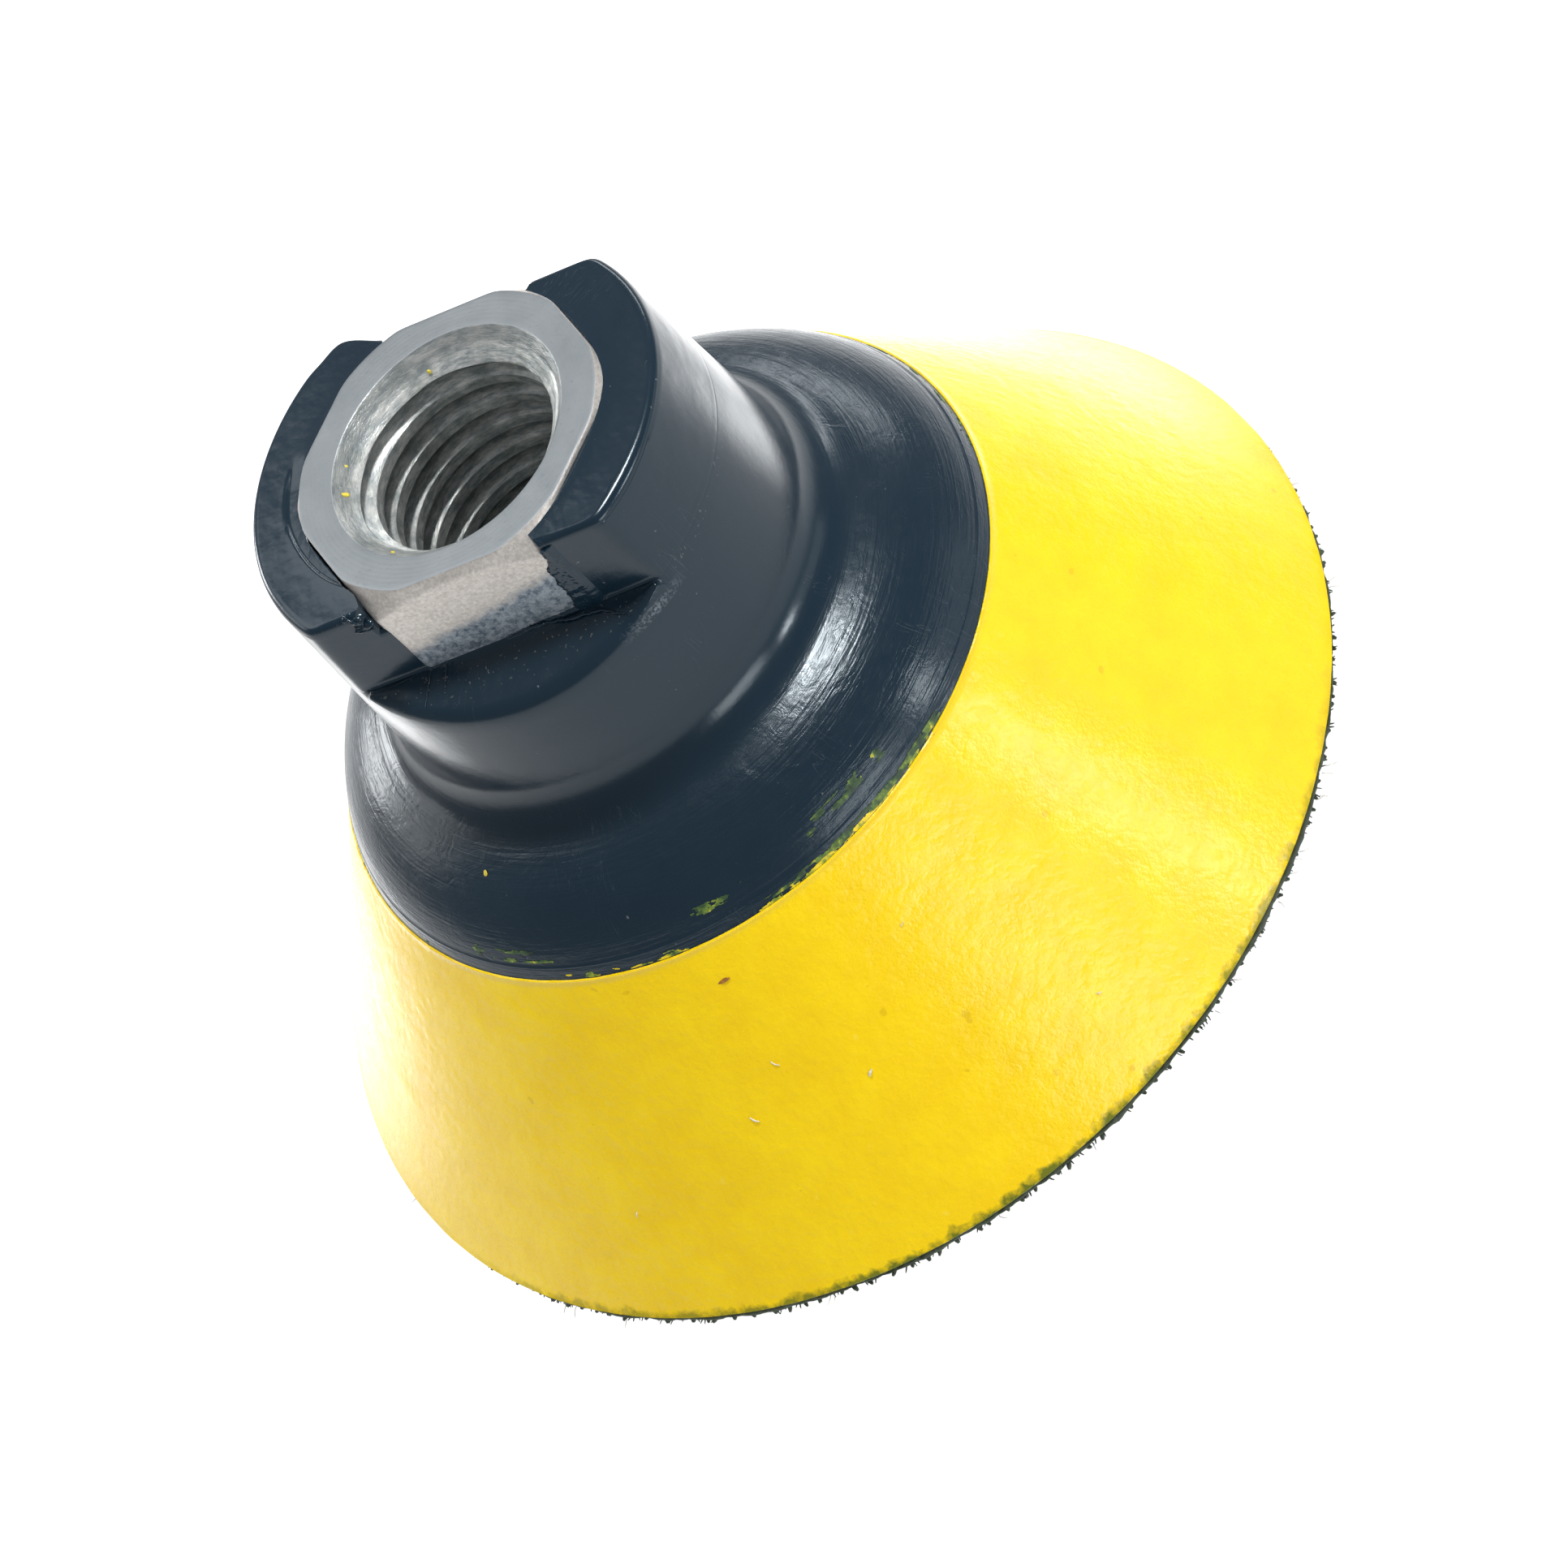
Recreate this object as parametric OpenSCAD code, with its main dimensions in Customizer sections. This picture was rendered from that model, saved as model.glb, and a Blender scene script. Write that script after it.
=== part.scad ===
// Hook-faced backing pad for a rotary machine: a steel screw insert moulded into
// a domed hub, a conical foam cushion cast under the hub, and a hook face glued
// under the cushion. Millimetres, +Z points out of the screw thread, and the
// origin is at the centre of the hook tips.

/* [Threaded insert] */
// Across-flats size of the hexagon bar that the insert is turned from
insert_af = 19; // [18:0.5:19.5]
// Length of the insert along its axis
insert_len = 19.8; // [18:0.1:21]
// Diameter of the tapping hole, which is the wall left inside the thread crests
bore_d = 12; // [11.8:0.05:12.4]
// Diameter of the countersink at the mouth of the thread
mouth_d = 15; // [14.2:0.1:16]
// Radius of the flat ring that the corner chamfer leaves on the top face
chamfer_ring_r = 9.7; // [9.2:0.1:10.2]
// Fall of the corner chamfer for each millimetre outwards
chamfer_fall = 1.15; // [0.6:0.05:1.5]
// Diameter at the bottom of each retaining groove
groove_d = 17.2; // [16:0.1:17.8]
// Width of each retaining groove
groove_w = 2.2; // [1:0.1:2.6]

/* [Hub moulding] */
// Height that the steel stands above the collar
steel_proud = 0.5; // [0.2:0.1:1.2]
// Radius of the collar at its top edge
collar_r = 13.25; // [12.6:0.05:13.6]
// Radius of the neck where the fillet starts
neck_r = 13.85; // [13.6:0.05:14.4]
// Distance from the axis to the face of each spanner cut
spanner_plane = 9.4; // [9.2:0.05:9.45]
// Depth of each spanner cut below the steel face
spanner_depth = 6.5; // [5:0.25:9]
// Radius of the flange at its lower rim
flange_r = 21.45; // [20.5:0.05:22.5]
// Distance from the steel face down to the flange's lower rim
flange_drop = 22.8; // [22.2:0.1:24]
// Height of the bevelled band around the rim
band_h = 0.8; // [0.4:0.1:1]
// Radius of the dome's section
dome_r = 9; // [8:0.5:10]
// Thickness of the floor that closes the hub below the insert
floor_t = 5; // [3.5:0.25:6]

/* [Foam cushion] */
// Thickness of the cushion, from the flange's rim down to its lower face
foam_h = 18.65; // [15:0.05:24]
// Radius of the cushion at its lower edge
foam_r = 33.3; // [28:0.1:40]
// Radius that rounds the cushion's lower edge
foam_edge_r = 0.5; // [0.2:0.1:1]

/* [Hook face] */
// Thickness of the adhesive film
glue_t = 0.15; // [0.1:0.01:0.3]
// Thickness of the woven ground of the hook tape
backing_t = 0.35; // [0.25:0.01:0.6]
// Height of the hooks below the woven ground
hook_h = 0.85; // [0.6:0.01:1.5]
// Distance that the hook disc stands in from the cushion's edge
hook_inset = 0.9; // [0.5:0.1:1.8]

/* [Hidden] */
$fn = 96;
eps = 0.5;

// Levels, counted up from the hook tips
z_hooks = hook_h;
z_backing = z_hooks + backing_t;
z_foam = z_backing + glue_t;
z_rim = z_foam + foam_h;
z_steel = z_rim + flange_drop;
z_collar = z_steel - steel_proud;
z_insert = z_steel - insert_len;
z_ledge = z_steel - spanner_depth;
z_floor = z_insert - floor_t;

hook_disc_r = foam_r - hook_inset;

// Dome and fillet of the hub's outline, as two tangent arcs. An angle is the
// slope of the outline below the horizontal.
band_r = flange_r - 0.38;
dome_end = 64;
dome_start = 20;
dome_cx = band_r - dome_r * sin(dome_end);
dome_cz = z_rim + band_h - dome_r * cos(dome_end);
join_x = dome_cx + dome_r * sin(dome_start);
join_z = dome_cz + dome_r * cos(dome_start);
fillet_r = (join_x - neck_r) / (1 - sin(dome_start));
fillet_cx = join_x + fillet_r * sin(dome_start);
fillet_cz = join_z + fillet_r * cos(dome_start);

dome_pts = [for (i = [0:12]) let (b = dome_end - (dome_end - dome_start) * i / 12)
    [dome_cx + dome_r * sin(b), dome_cz + dome_r * cos(b)]];
fillet_pts = [for (i = [1:10]) let (b = dome_start + (90 - dome_start) * i / 10)
    [fillet_cx - fillet_r * sin(b), fillet_cz - fillet_r * cos(b)]];

// Rounded top edge of the collar
collar_edge = 0.5;
collar_pts = [for (i = [0:4]) let (b = 22.5 * i)
    [collar_r - collar_edge + collar_edge * cos(b), z_collar - collar_edge + collar_edge * sin(b)]];

// Dovetail ring under the flange that the foam grips
key_in = 15;
key_out = 17;
key_h = 2.4;

boss_r = 12.5;

module hexagon_bar(af, z0, z1) {
    translate([0, 0, z0])
        linear_extrude(height = z1 - z0)
            circle(r = af / sqrt(3), $fn = 6);
}

// Outside of the insert: the bar with its corners chamfered at both ends and
// two turned grooves that stop it pulling out of the moulding.
module insert_body() {
    chamfer_r = insert_af;
    difference() {
        intersection() {
            hexagon_bar(insert_af, z_insert, z_steel);
            rotate_extrude()
                polygon([
                    [0, z_insert],
                    [chamfer_ring_r, z_insert],
                    [chamfer_r, z_insert + (chamfer_r - chamfer_ring_r) * 0.6],
                    [chamfer_r, z_steel - (chamfer_r - chamfer_ring_r) * chamfer_fall],
                    [chamfer_ring_r, z_steel],
                    [0, z_steel]
                ]);
        }
        for (z = [z_insert + 2.6, z_insert + 6.8])
            translate([0, 0, z])
                difference() {
                    cylinder(h = groove_w, r = insert_af);
                    translate([0, 0, -eps]) cylinder(h = groove_w + 2 * eps, d = groove_d);
                }
    }
}

module threaded_insert() {
    color([0.62, 0.65, 0.67])
        difference() {
            insert_body();
            translate([0, 0, z_insert - eps]) cylinder(h = insert_len + 2 * eps, d = bore_d);
            rotate_extrude()
                polygon([
                    [0, z_steel + 1],
                    [mouth_d / 2 + 1, z_steel + 1],
                    [bore_d / 2 - 1, z_steel - (mouth_d - bore_d) / 2 - 1],
                    [0, z_steel - (mouth_d - bore_d) / 2 - 1]
                ]);
        }
}

module key_ring() {
    rotate_extrude()
        polygon([
            [key_in, z_rim + 1],
            [key_in, z_rim],
            [key_in - 0.5, z_rim - key_h],
            [key_out + 0.5, z_rim - key_h],
            [key_out, z_rim],
            [key_out, z_rim + 1]
        ]);
}

module centre_boss() {
    translate([0, 0, z_floor]) cylinder(h = z_rim - z_floor + 1, r = boss_r);
}

module spanner_cut() {
    rotate([90, 0, 90])
        linear_extrude(height = 60, center = true)
            polygon([
                [-spanner_plane, z_steel + 2],
                [-spanner_plane, z_ledge],
                [-spanner_plane - 3.6, z_ledge - 1.05],
                [-spanner_plane - 4.2, z_ledge - 1.5],
                [-spanner_plane - 5.5, z_ledge - 3],
                [-spanner_plane - 9, z_ledge - 3],
                [-spanner_plane - 9, z_steel + 2]
            ]);
}

module hub_moulding() {
    color([0.12, 0.14, 0.17])
        difference() {
            union() {
                rotate_extrude()
                    polygon(concat(
                        [[0, z_rim], [flange_r, z_rim], [flange_r - 0.3, z_rim + band_h - 0.05]],
                        dome_pts,
                        fillet_pts,
                        collar_pts,
                        [[0, z_collar]]
                    ));
                key_ring();
                centre_boss();
            }
            insert_body();
            translate([0, 0, z_collar - 0.01]) cylinder(h = 4, r = 9.8);
            spanner_cut();
            rotate([0, 0, 180]) spanner_cut();
        }
}

module foam_cushion() {
    edge_slope = atan((foam_r - flange_r) / foam_h);
    color([0.98, 0.83, 0.05])
        difference() {
            rotate_extrude()
                polygon(concat(
                    [[0, z_rim], [0, z_foam]],
                    [for (i = [0:4]) let (b = -90 + (90 - edge_slope) * i / 4)
                        [foam_r - foam_edge_r + foam_edge_r * cos(b), z_foam + foam_edge_r + foam_edge_r * sin(b)]],
                    [[flange_r, z_rim]]
                ));
            key_ring();
            centre_boss();
        }
}

module face_disc(z0, t, r) {
    translate([0, 0, z0]) cylinder(h = t, r = r);
}

module adhesive_film() {
    color([0.75, 0.68, 0.45]) face_disc(z_backing, glue_t, hook_disc_r - 0.2);
}

module hook_backing() {
    color([0.1, 0.12, 0.1]) face_disc(z_hooks, backing_t, hook_disc_r);
}

module hook_pile() {
    color([0.15, 0.17, 0.16]) face_disc(0, hook_h, hook_disc_r - 0.1);
}

threaded_insert();
hub_moulding();
foam_cushion();
adhesive_film();
hook_backing();
hook_pile();
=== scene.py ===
"""Looks of the hook-faced backing pad. Metres, in the CAD frame: +Z out of the thread, hook tips at z = 0."""

import math

import bpy
import numpy as np
from mathutils import Matrix, Vector


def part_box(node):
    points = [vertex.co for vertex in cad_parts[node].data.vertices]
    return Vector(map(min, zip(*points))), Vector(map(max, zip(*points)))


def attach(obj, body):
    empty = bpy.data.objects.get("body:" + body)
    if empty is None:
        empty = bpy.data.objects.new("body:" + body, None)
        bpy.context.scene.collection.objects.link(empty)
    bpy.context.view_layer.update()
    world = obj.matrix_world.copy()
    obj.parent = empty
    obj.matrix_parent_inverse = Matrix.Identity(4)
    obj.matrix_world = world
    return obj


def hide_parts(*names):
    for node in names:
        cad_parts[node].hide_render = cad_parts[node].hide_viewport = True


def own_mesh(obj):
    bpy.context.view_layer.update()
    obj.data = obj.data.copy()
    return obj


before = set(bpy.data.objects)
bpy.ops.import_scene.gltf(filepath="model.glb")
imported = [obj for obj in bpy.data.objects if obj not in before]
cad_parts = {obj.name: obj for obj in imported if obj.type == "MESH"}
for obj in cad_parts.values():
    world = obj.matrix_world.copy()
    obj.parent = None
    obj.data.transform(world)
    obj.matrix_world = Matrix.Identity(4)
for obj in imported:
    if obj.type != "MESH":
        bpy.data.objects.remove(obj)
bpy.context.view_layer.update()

MM = 0.001

# ---------------------------------------------------------------- levels, from the CAD boxes
Z_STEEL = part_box("threaded_insert")[1][2] / MM
Z_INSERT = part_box("threaded_insert")[0][2] / MM
Z_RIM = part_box("foam_cushion")[1][2] / MM
Z_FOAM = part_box("foam_cushion")[0][2] / MM
Z_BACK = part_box("hook_backing")[1][2] / MM
Z_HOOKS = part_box("hook_backing")[0][2] / MM
R_FOAM = 33.22
R_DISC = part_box("hook_backing")[1][0] / MM
Z_BOSS = 18.0

AF = 19.0
R_MINOR = 6.0
R_MAJOR = 7.0
PITCH = 2.0
R_MOUTH = 7.5
PLANE = 9.4
Z_LEDGE = Z_STEEL - 6.5


# ---------------------------------------------------------------- helpers
def lattice(seed, nu, nv):
    return np.random.RandomState(seed).rand(nu, nv)


def vnoise(u, v, seed, pu=64, pv=64):
    """Smooth value noise, periodic over pu cells in u and pv cells in v, from 0 to 1."""
    g = lattice(seed, pu, pv)
    iu, iv = np.floor(u).astype(int), np.floor(v).astype(int)
    fu, fv = u - iu, v - iv
    fu, fv = fu * fu * (3 - 2 * fu), fv * fv * (3 - 2 * fv)
    a, b = iu % pu, (iu + 1) % pu
    c, d = iv % pv, (iv + 1) % pv
    return (g[a, c] * (1 - fu) + g[b, c] * fu) * (1 - fv) + (
        g[a, d] * (1 - fu) + g[b, d] * fu
    ) * fv


def fbm(u, v, seed, pu=64, pv=64, octaves=4):
    """Layered noise around zero, about -0.5 to 0.5. pu and pv double with each layer, so it stays periodic."""
    out, amp = 0.0, 0.5
    for k in range(octaves):
        out = out + amp * (vnoise(u * 2**k, v * 2**k, seed + k, pu * 2**k, pv * 2**k) - 0.5)
        amp *= 0.5
    return out


def smooth(x, a, b):
    t = np.clip((x - a) / (b - a), 0, 1)
    return t * t * (3 - 2 * t)


def smin(a, b, k):
    m = np.minimum(a, b)
    return m - k * np.log(np.exp(-(a - m) / k) + np.exp(-(b - m) / k))


def mesh_from(name, verts_mm, faces, material, sharp_deg=None, merge=1e-7):
    me = bpy.data.meshes.new(name)
    me.from_pydata([tuple(p) for p in (np.asarray(verts_mm) * MM).tolist()], [], faces)
    import bmesh

    bm = bmesh.new()
    bm.from_mesh(me)
    bmesh.ops.remove_doubles(bm, verts=bm.verts, dist=merge)
    bmesh.ops.dissolve_degenerate(bm, dist=1e-8, edges=bm.edges)
    loose = [v for v in bm.verts if not v.link_faces]
    bmesh.ops.delete(bm, geom=loose, context="VERTS")
    bmesh.ops.recalc_face_normals(bm, faces=bm.faces)
    bm.to_mesh(me)
    bm.free()
    me.polygons.foreach_set("use_smooth", [True] * len(me.polygons))
    me.update()
    ob = bpy.data.objects.new(name, me)
    bpy.context.scene.collection.objects.link(ob)
    if sharp_deg is not None:
        me.set_sharp_from_angle(angle=math.radians(sharp_deg))
    ob.data.materials.append(material)
    return ob


def ring_grid(rows_xyz, wrap=True, offset=0):
    """rows_xyz: (rows, n, 3). Quads between neighbouring rows."""
    rows_xyz = np.asarray(rows_xyz)
    m, n, _ = rows_xyz.shape
    faces = []
    last = n if wrap else n - 1
    for j in range(m - 1):
        a = offset + j * n
        b = a + n
        for i in range(last):
            k = (i + 1) % n
            faces.append((a + i, a + k, b + k, b + i))
    return rows_xyz.reshape(-1, 3), faces


def polar(r, z, th):
    """One row of points at radius r and height z for the angles th."""
    r = np.broadcast_to(r, th.shape)
    z = np.broadcast_to(z, th.shape)
    return np.stack([r * np.cos(th), r * np.sin(th), z], -1)


# ---------------------------------------------------------------- materials
class Nodes:
    """A short way to build one material's node tree."""

    def __init__(self, name):
        self.m = bpy.data.materials.new(name)
        self.m.use_nodes = True
        self.t = self.m.node_tree
        self.bsdf = self.t.nodes["Principled BSDF"]
        self.out = self.t.nodes["Material Output"]
        self.x = -200
        co = self.t.nodes.new("ShaderNodeTexCoord")
        self.obj = co.outputs["Object"]

    def node(self, kind, **props):
        n = self.t.nodes.new(kind)
        self.x -= 40
        n.location = (self.x, 0)
        for k, v in props.items():
            setattr(n, k, v)
        return n

    def link(self, a, b):
        self.t.links.new(a, b)

    def put(self, socket, value):
        if hasattr(value, "is_linked") or hasattr(value, "links"):
            self.link(value, socket)
        else:
            socket.default_value = value

    def math(self, op, a, b=None, c=None, clamp=False):
        n = self.node("ShaderNodeMath", operation=op, use_clamp=clamp)
        for s, v in zip(n.inputs, (a, b, c)):
            if v is not None:
                self.put(s, v)
        return n.outputs[0]

    def sep(self, v):
        n = self.node("ShaderNodeSeparateXYZ")
        self.put(n.inputs[0], v)
        return n.outputs

    def comb(self, x, y, z):
        n = self.node("ShaderNodeCombineXYZ")
        for s, v in zip(n.inputs, (x, y, z)):
            self.put(s, v)
        return n.outputs[0]

    def noise(self, scale, detail=3.0, rough=0.55, vec=None, dist=0.0):
        n = self.node("ShaderNodeTexNoise")
        self.put(n.inputs["Vector"], vec if vec is not None else self.obj)
        n.inputs["Scale"].default_value = scale
        n.inputs["Detail"].default_value = detail
        n.inputs["Roughness"].default_value = rough
        n.inputs["Distortion"].default_value = dist
        return n.outputs[0]

    def voronoi(self, scale, vec=None, feature="F1", out="Distance", rand=1.0):
        n = self.node("ShaderNodeTexVoronoi", feature=feature)
        self.put(n.inputs["Vector"], vec if vec is not None else self.obj)
        n.inputs["Scale"].default_value = scale
        n.inputs["Randomness"].default_value = rand
        return n.outputs[out]

    def ramp(self, fac, stops, interp="LINEAR"):
        n = self.node("ShaderNodeValToRGB")
        n.color_ramp.interpolation = interp
        el = n.color_ramp.elements
        while len(el) < len(stops):
            el.new(0.5)
        for e, (p, c) in zip(el, stops):
            e.position = p
            e.color = (c, c, c, 1) if isinstance(c, (int, float)) else (*c, 1)
        self.put(n.inputs[0], fac)
        return n.outputs[0]

    def mix(self, fac, a, b, blend="MIX"):
        n = self.node("ShaderNodeMix", data_type="RGBA", blend_type=blend)
        n.clamp_result = False
        self.put(n.inputs[0], fac)
        for s, v in ((n.inputs[6], a), (n.inputs[7], b)):
            if isinstance(v, tuple):
                s.default_value = (*v, 1) if len(v) == 3 else v
            else:
                self.link(v, s)
        return n.outputs[2]

    def bump(self, height, strength, distance, normal=None):
        n = self.node("ShaderNodeBump")
        n.inputs["Strength"].default_value = strength
        n.inputs["Distance"].default_value = distance
        self.put(n.inputs["Height"], height)
        if normal is not None:
            self.link(normal, n.inputs["Normal"])
        return n.outputs[0]

    def radius(self):
        x, y, z = self.sep(self.obj)
        return self.math("SQRT", self.math("ADD", self.math("MULTIPLY", x, x), self.math("MULTIPLY", y, y))), x, y, z

    def finish(self, color=None, rough=None, normal=None, metallic=None, **sockets):
        b = self.bsdf.inputs
        if color is not None:
            if isinstance(color, tuple):
                b["Base Color"].default_value = (*color, 1)
            else:
                self.link(color, b["Base Color"])
        if rough is not None:
            self.put(b["Roughness"], rough)
        if metallic is not None:
            self.put(b["Metallic"], metallic)
        if normal is not None:
            self.link(normal, b["Normal"])
        for k, v in sockets.items():
            b[k.replace("_", " ")].default_value = v
        return self.m


def steel_face_material():
    """Zinc-plated steel, matt blue-grey, with fine circular turning marks."""
    n = Nodes("zinc_turned")
    r, x, y, z = n.radius()
    fine = n.noise(2600, 2, 0.5)
    cloud = n.noise(420, 3, 0.6)
    col = n.mix(cloud, (0.262, 0.290, 0.308), (0.345, 0.368, 0.382))
    speck = n.ramp(n.noise(5200, 1, 0.5), [(0.66, 0.0), (0.74, 1.0)])
    col = n.mix(n.math("MULTIPLY", speck, 0.22), col, (0.16, 0.18, 0.2))
    turn = n.node("ShaderNodeTexWave", wave_type="RINGS", rings_direction="Z")
    n.link(n.obj, turn.inputs["Vector"])
    turn.inputs["Scale"].default_value = 1100
    turn.inputs["Distortion"].default_value = 1.2
    turn.inputs["Detail"].default_value = 2
    b1 = n.bump(turn.outputs[1], 0.10, 0.00002)
    b2 = n.bump(fine, 0.22, 0.00004, b1)
    rough = n.math("ADD", n.math("MULTIPLY", cloud, 0.16), 0.38)
    return n.finish(col, rough, b2, metallic=0.85)


def steel_side_material():
    """Drawn flat of the bar: warm bright grey towards the top, darker and grainy towards the root."""
    n = Nodes("zinc_drawn")
    x, y, z = n.sep(n.obj)
    grain = n.noise(3000, 3, 0.7)
    blot = n.noise(1100, 5, 0.75)
    height = n.math("ADD", z, n.math("MULTIPLY", n.math("SUBTRACT", blot, 0.5), 0.0016))
    height = n.math("SUBTRACT", height, n.math("MULTIPLY", x, 0.19))
    low = n.node("ShaderNodeMapRange")
    n.put(low.inputs["Value"], height)
    low.inputs["From Min"].default_value = (Z_STEEL - 4.3) * MM
    low.inputs["From Max"].default_value = (Z_STEEL - 3.5) * MM
    fac = low.outputs[0]
    dark = n.mix(n.ramp(grain, [(0.35, 0.0), (0.62, 1.0)]), (0.10, 0.135, 0.175), (0.36, 0.41, 0.455))
    light = n.mix(n.ramp(n.noise(5200, 2, 0.6), [(0.30, 0.0), (0.70, 1.0)]), (0.50, 0.47, 0.435), (0.71, 0.67, 0.625))
    col = n.mix(fac, dark, light)
    bump = n.bump(grain, 0.5, 0.00006)
    rough = n.math("ADD", n.math("MULTIPLY", grain, 0.2), 0.36)
    return n.finish(col, rough, bump, metallic=0.55)


def thread_material():
    """Tapped thread: bright, with patches of drag and cutting oil, and painted shade that darkens it towards the root
    of the groove.
    """
    n = Nodes("zinc_tapped")
    r, x, y, z = n.radius()
    ang = n.math("ARCTAN2", y, x)
    streak = n.noise(1.0, 4, 0.7, n.comb(n.math("MULTIPLY", ang, 5.0), n.math("MULTIPLY", z, 2600.0), n.math("MULTIPLY", r, 2600.0)))
    blot = n.noise(500, 4, 0.65)
    col = n.mix(n.ramp(streak, [(0.36, 0.0), (0.62, 1.0)]), (0.34, 0.38, 0.39), (0.80, 0.81, 0.77))
    col = n.mix(n.ramp(blot, [(0.46, 0.0), (0.70, 0.75)]), col, (0.20, 0.235, 0.22))
    # painted shade: the colour darkens towards the root of the groove, by radius
    root = n.node("ShaderNodeMapRange")
    n.put(root.inputs["Value"], r)
    root.inputs["From Min"].default_value = 6.6 * MM
    root.inputs["From Max"].default_value = 6.95 * MM
    col = n.mix(n.math("MULTIPLY", root.outputs[0], 0.5), col, (0.12, 0.135, 0.14))
    bump = n.bump(streak, 0.7, 0.00010)
    rough = n.math("ADD", n.math("MULTIPLY", blot, 0.24), 0.28)
    return n.finish(col, rough, bump, metallic=0.5)


def hub_material():
    """Moulded black plastic with a low gloss: turned look on the dome, light grain, scuffs and dust."""
    n = Nodes("hub_plastic")
    r, x, y, z = n.radius()
    ang = n.math("ARCTAN2", y, x)
    dome = n.ramp(n.math("DIVIDE", r, 0.025), [(0.56, 0.0), (0.66, 1.0)])
    tool = n.noise(1.0, 3, 0.6, n.comb(n.math("MULTIPLY", ang, 3.0), n.math("MULTIPLY", r, 4200.0), n.math("MULTIPLY", z, 4200.0)))
    wisp = n.noise(1.0, 3, 0.65, n.comb(n.math("MULTIPLY", ang, 9.0), n.math("MULTIPLY", r, 900.0), n.math("MULTIPLY", z, 900.0)), dist=1.2)
    grain = n.noise(3800, 3, 0.6)
    peel = n.noise(850, 2, 0.5)
    cloud = n.noise(150, 3, 0.6)
    col = n.mix(cloud, (0.0045, 0.0160, 0.0280), (0.0080, 0.0215, 0.0360))
    dust = n.ramp(n.noise(2300, 2, 0.5), [(0.76, 0.0), (0.80, 1.0)])
    col = n.mix(n.math("MULTIPLY", dust, 0.30), col, (0.32, 0.33, 0.33))
    scratch_v = n.noise(1.0, 2, 0.5, n.comb(n.math("MULTIPLY", ang, 26.0), n.math("MULTIPLY", r, 320.0), n.math("MULTIPLY", z, 150.0)), dist=0.6)
    scratch = n.ramp(n.math("ABSOLUTE", n.math("SUBTRACT", scratch_v, 0.5)), [(0.0, 1.0), (0.006, 0.0)])
    where = n.ramp(n.noise(170, 2, 0.5), [(0.56, 0.0), (0.66, 1.0)])
    scr = n.math("MULTIPLY", scratch, where)
    col = n.mix(n.math("MULTIPLY", scr, 0.12), col, (0.2, 0.22, 0.24))
    speck = n.ramp(n.noise(5600, 2, 0.6), [(0.44, 0.0), (0.60, 1.0)])
    arc = n.math("SUBTRACT", 1.0, n.math("DIVIDE", n.math("ABSOLUTE", n.math("ADD", ang, 0.88)), 0.20), clamp=True)
    lip = n.math("SUBTRACT", 1.0, n.math("DIVIDE", n.math("ABSOLUTE", n.math("SUBTRACT", z, 0.03512)), 0.00042), clamp=True)
    scuff = n.math("MULTIPLY", n.math("MULTIPLY", arc, n.math("POWER", lip, 0.5)), speck)
    col = n.mix(n.math("MULTIPLY", scuff, 0.85), col, (0.17, 0.20, 0.23))
    shelf = n.math("SUBTRACT", 1.0, n.math("DIVIDE", n.math("ABSOLUTE", n.math("SUBTRACT", z, (Z_LEDGE - 0.35) * MM)), 0.0006), clamp=True)
    grit = n.ramp(n.noise(4200, 1, 0.5), [(0.68, 0.0), (0.73, 1.0)])
    col = n.mix(n.math("MULTIPLY", n.math("MULTIPLY", shelf, grit), 0.28), col, (0.34, 0.34, 0.30))
    rough = n.math("ADD", n.math("MULTIPLY", peel, 0.07), 0.165)
    rough = n.math("ADD", rough, n.math("MULTIPLY", dome, n.math("ADD", n.math("MULTIPLY", wisp, 0.16), -0.03)))
    rough = n.math("ADD", rough, n.math("MULTIPLY", scr, 0.12))
    b1 = n.bump(n.math("MULTIPLY", tool, dome), 0.5, 0.00007)
    b2 = n.bump(grain, 0.10, 0.00004, b1)
    b3 = n.bump(n.math("MULTIPLY", wisp, dome), 0.22, 0.00016, n.bump(peel, 0.08, 0.00014, b2))
    n.bsdf.inputs["Specular Tint"].default_value = (0.86, 0.95, 1.0, 1)
    return n.finish(col, rough, b3, IOR=1.48)


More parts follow.
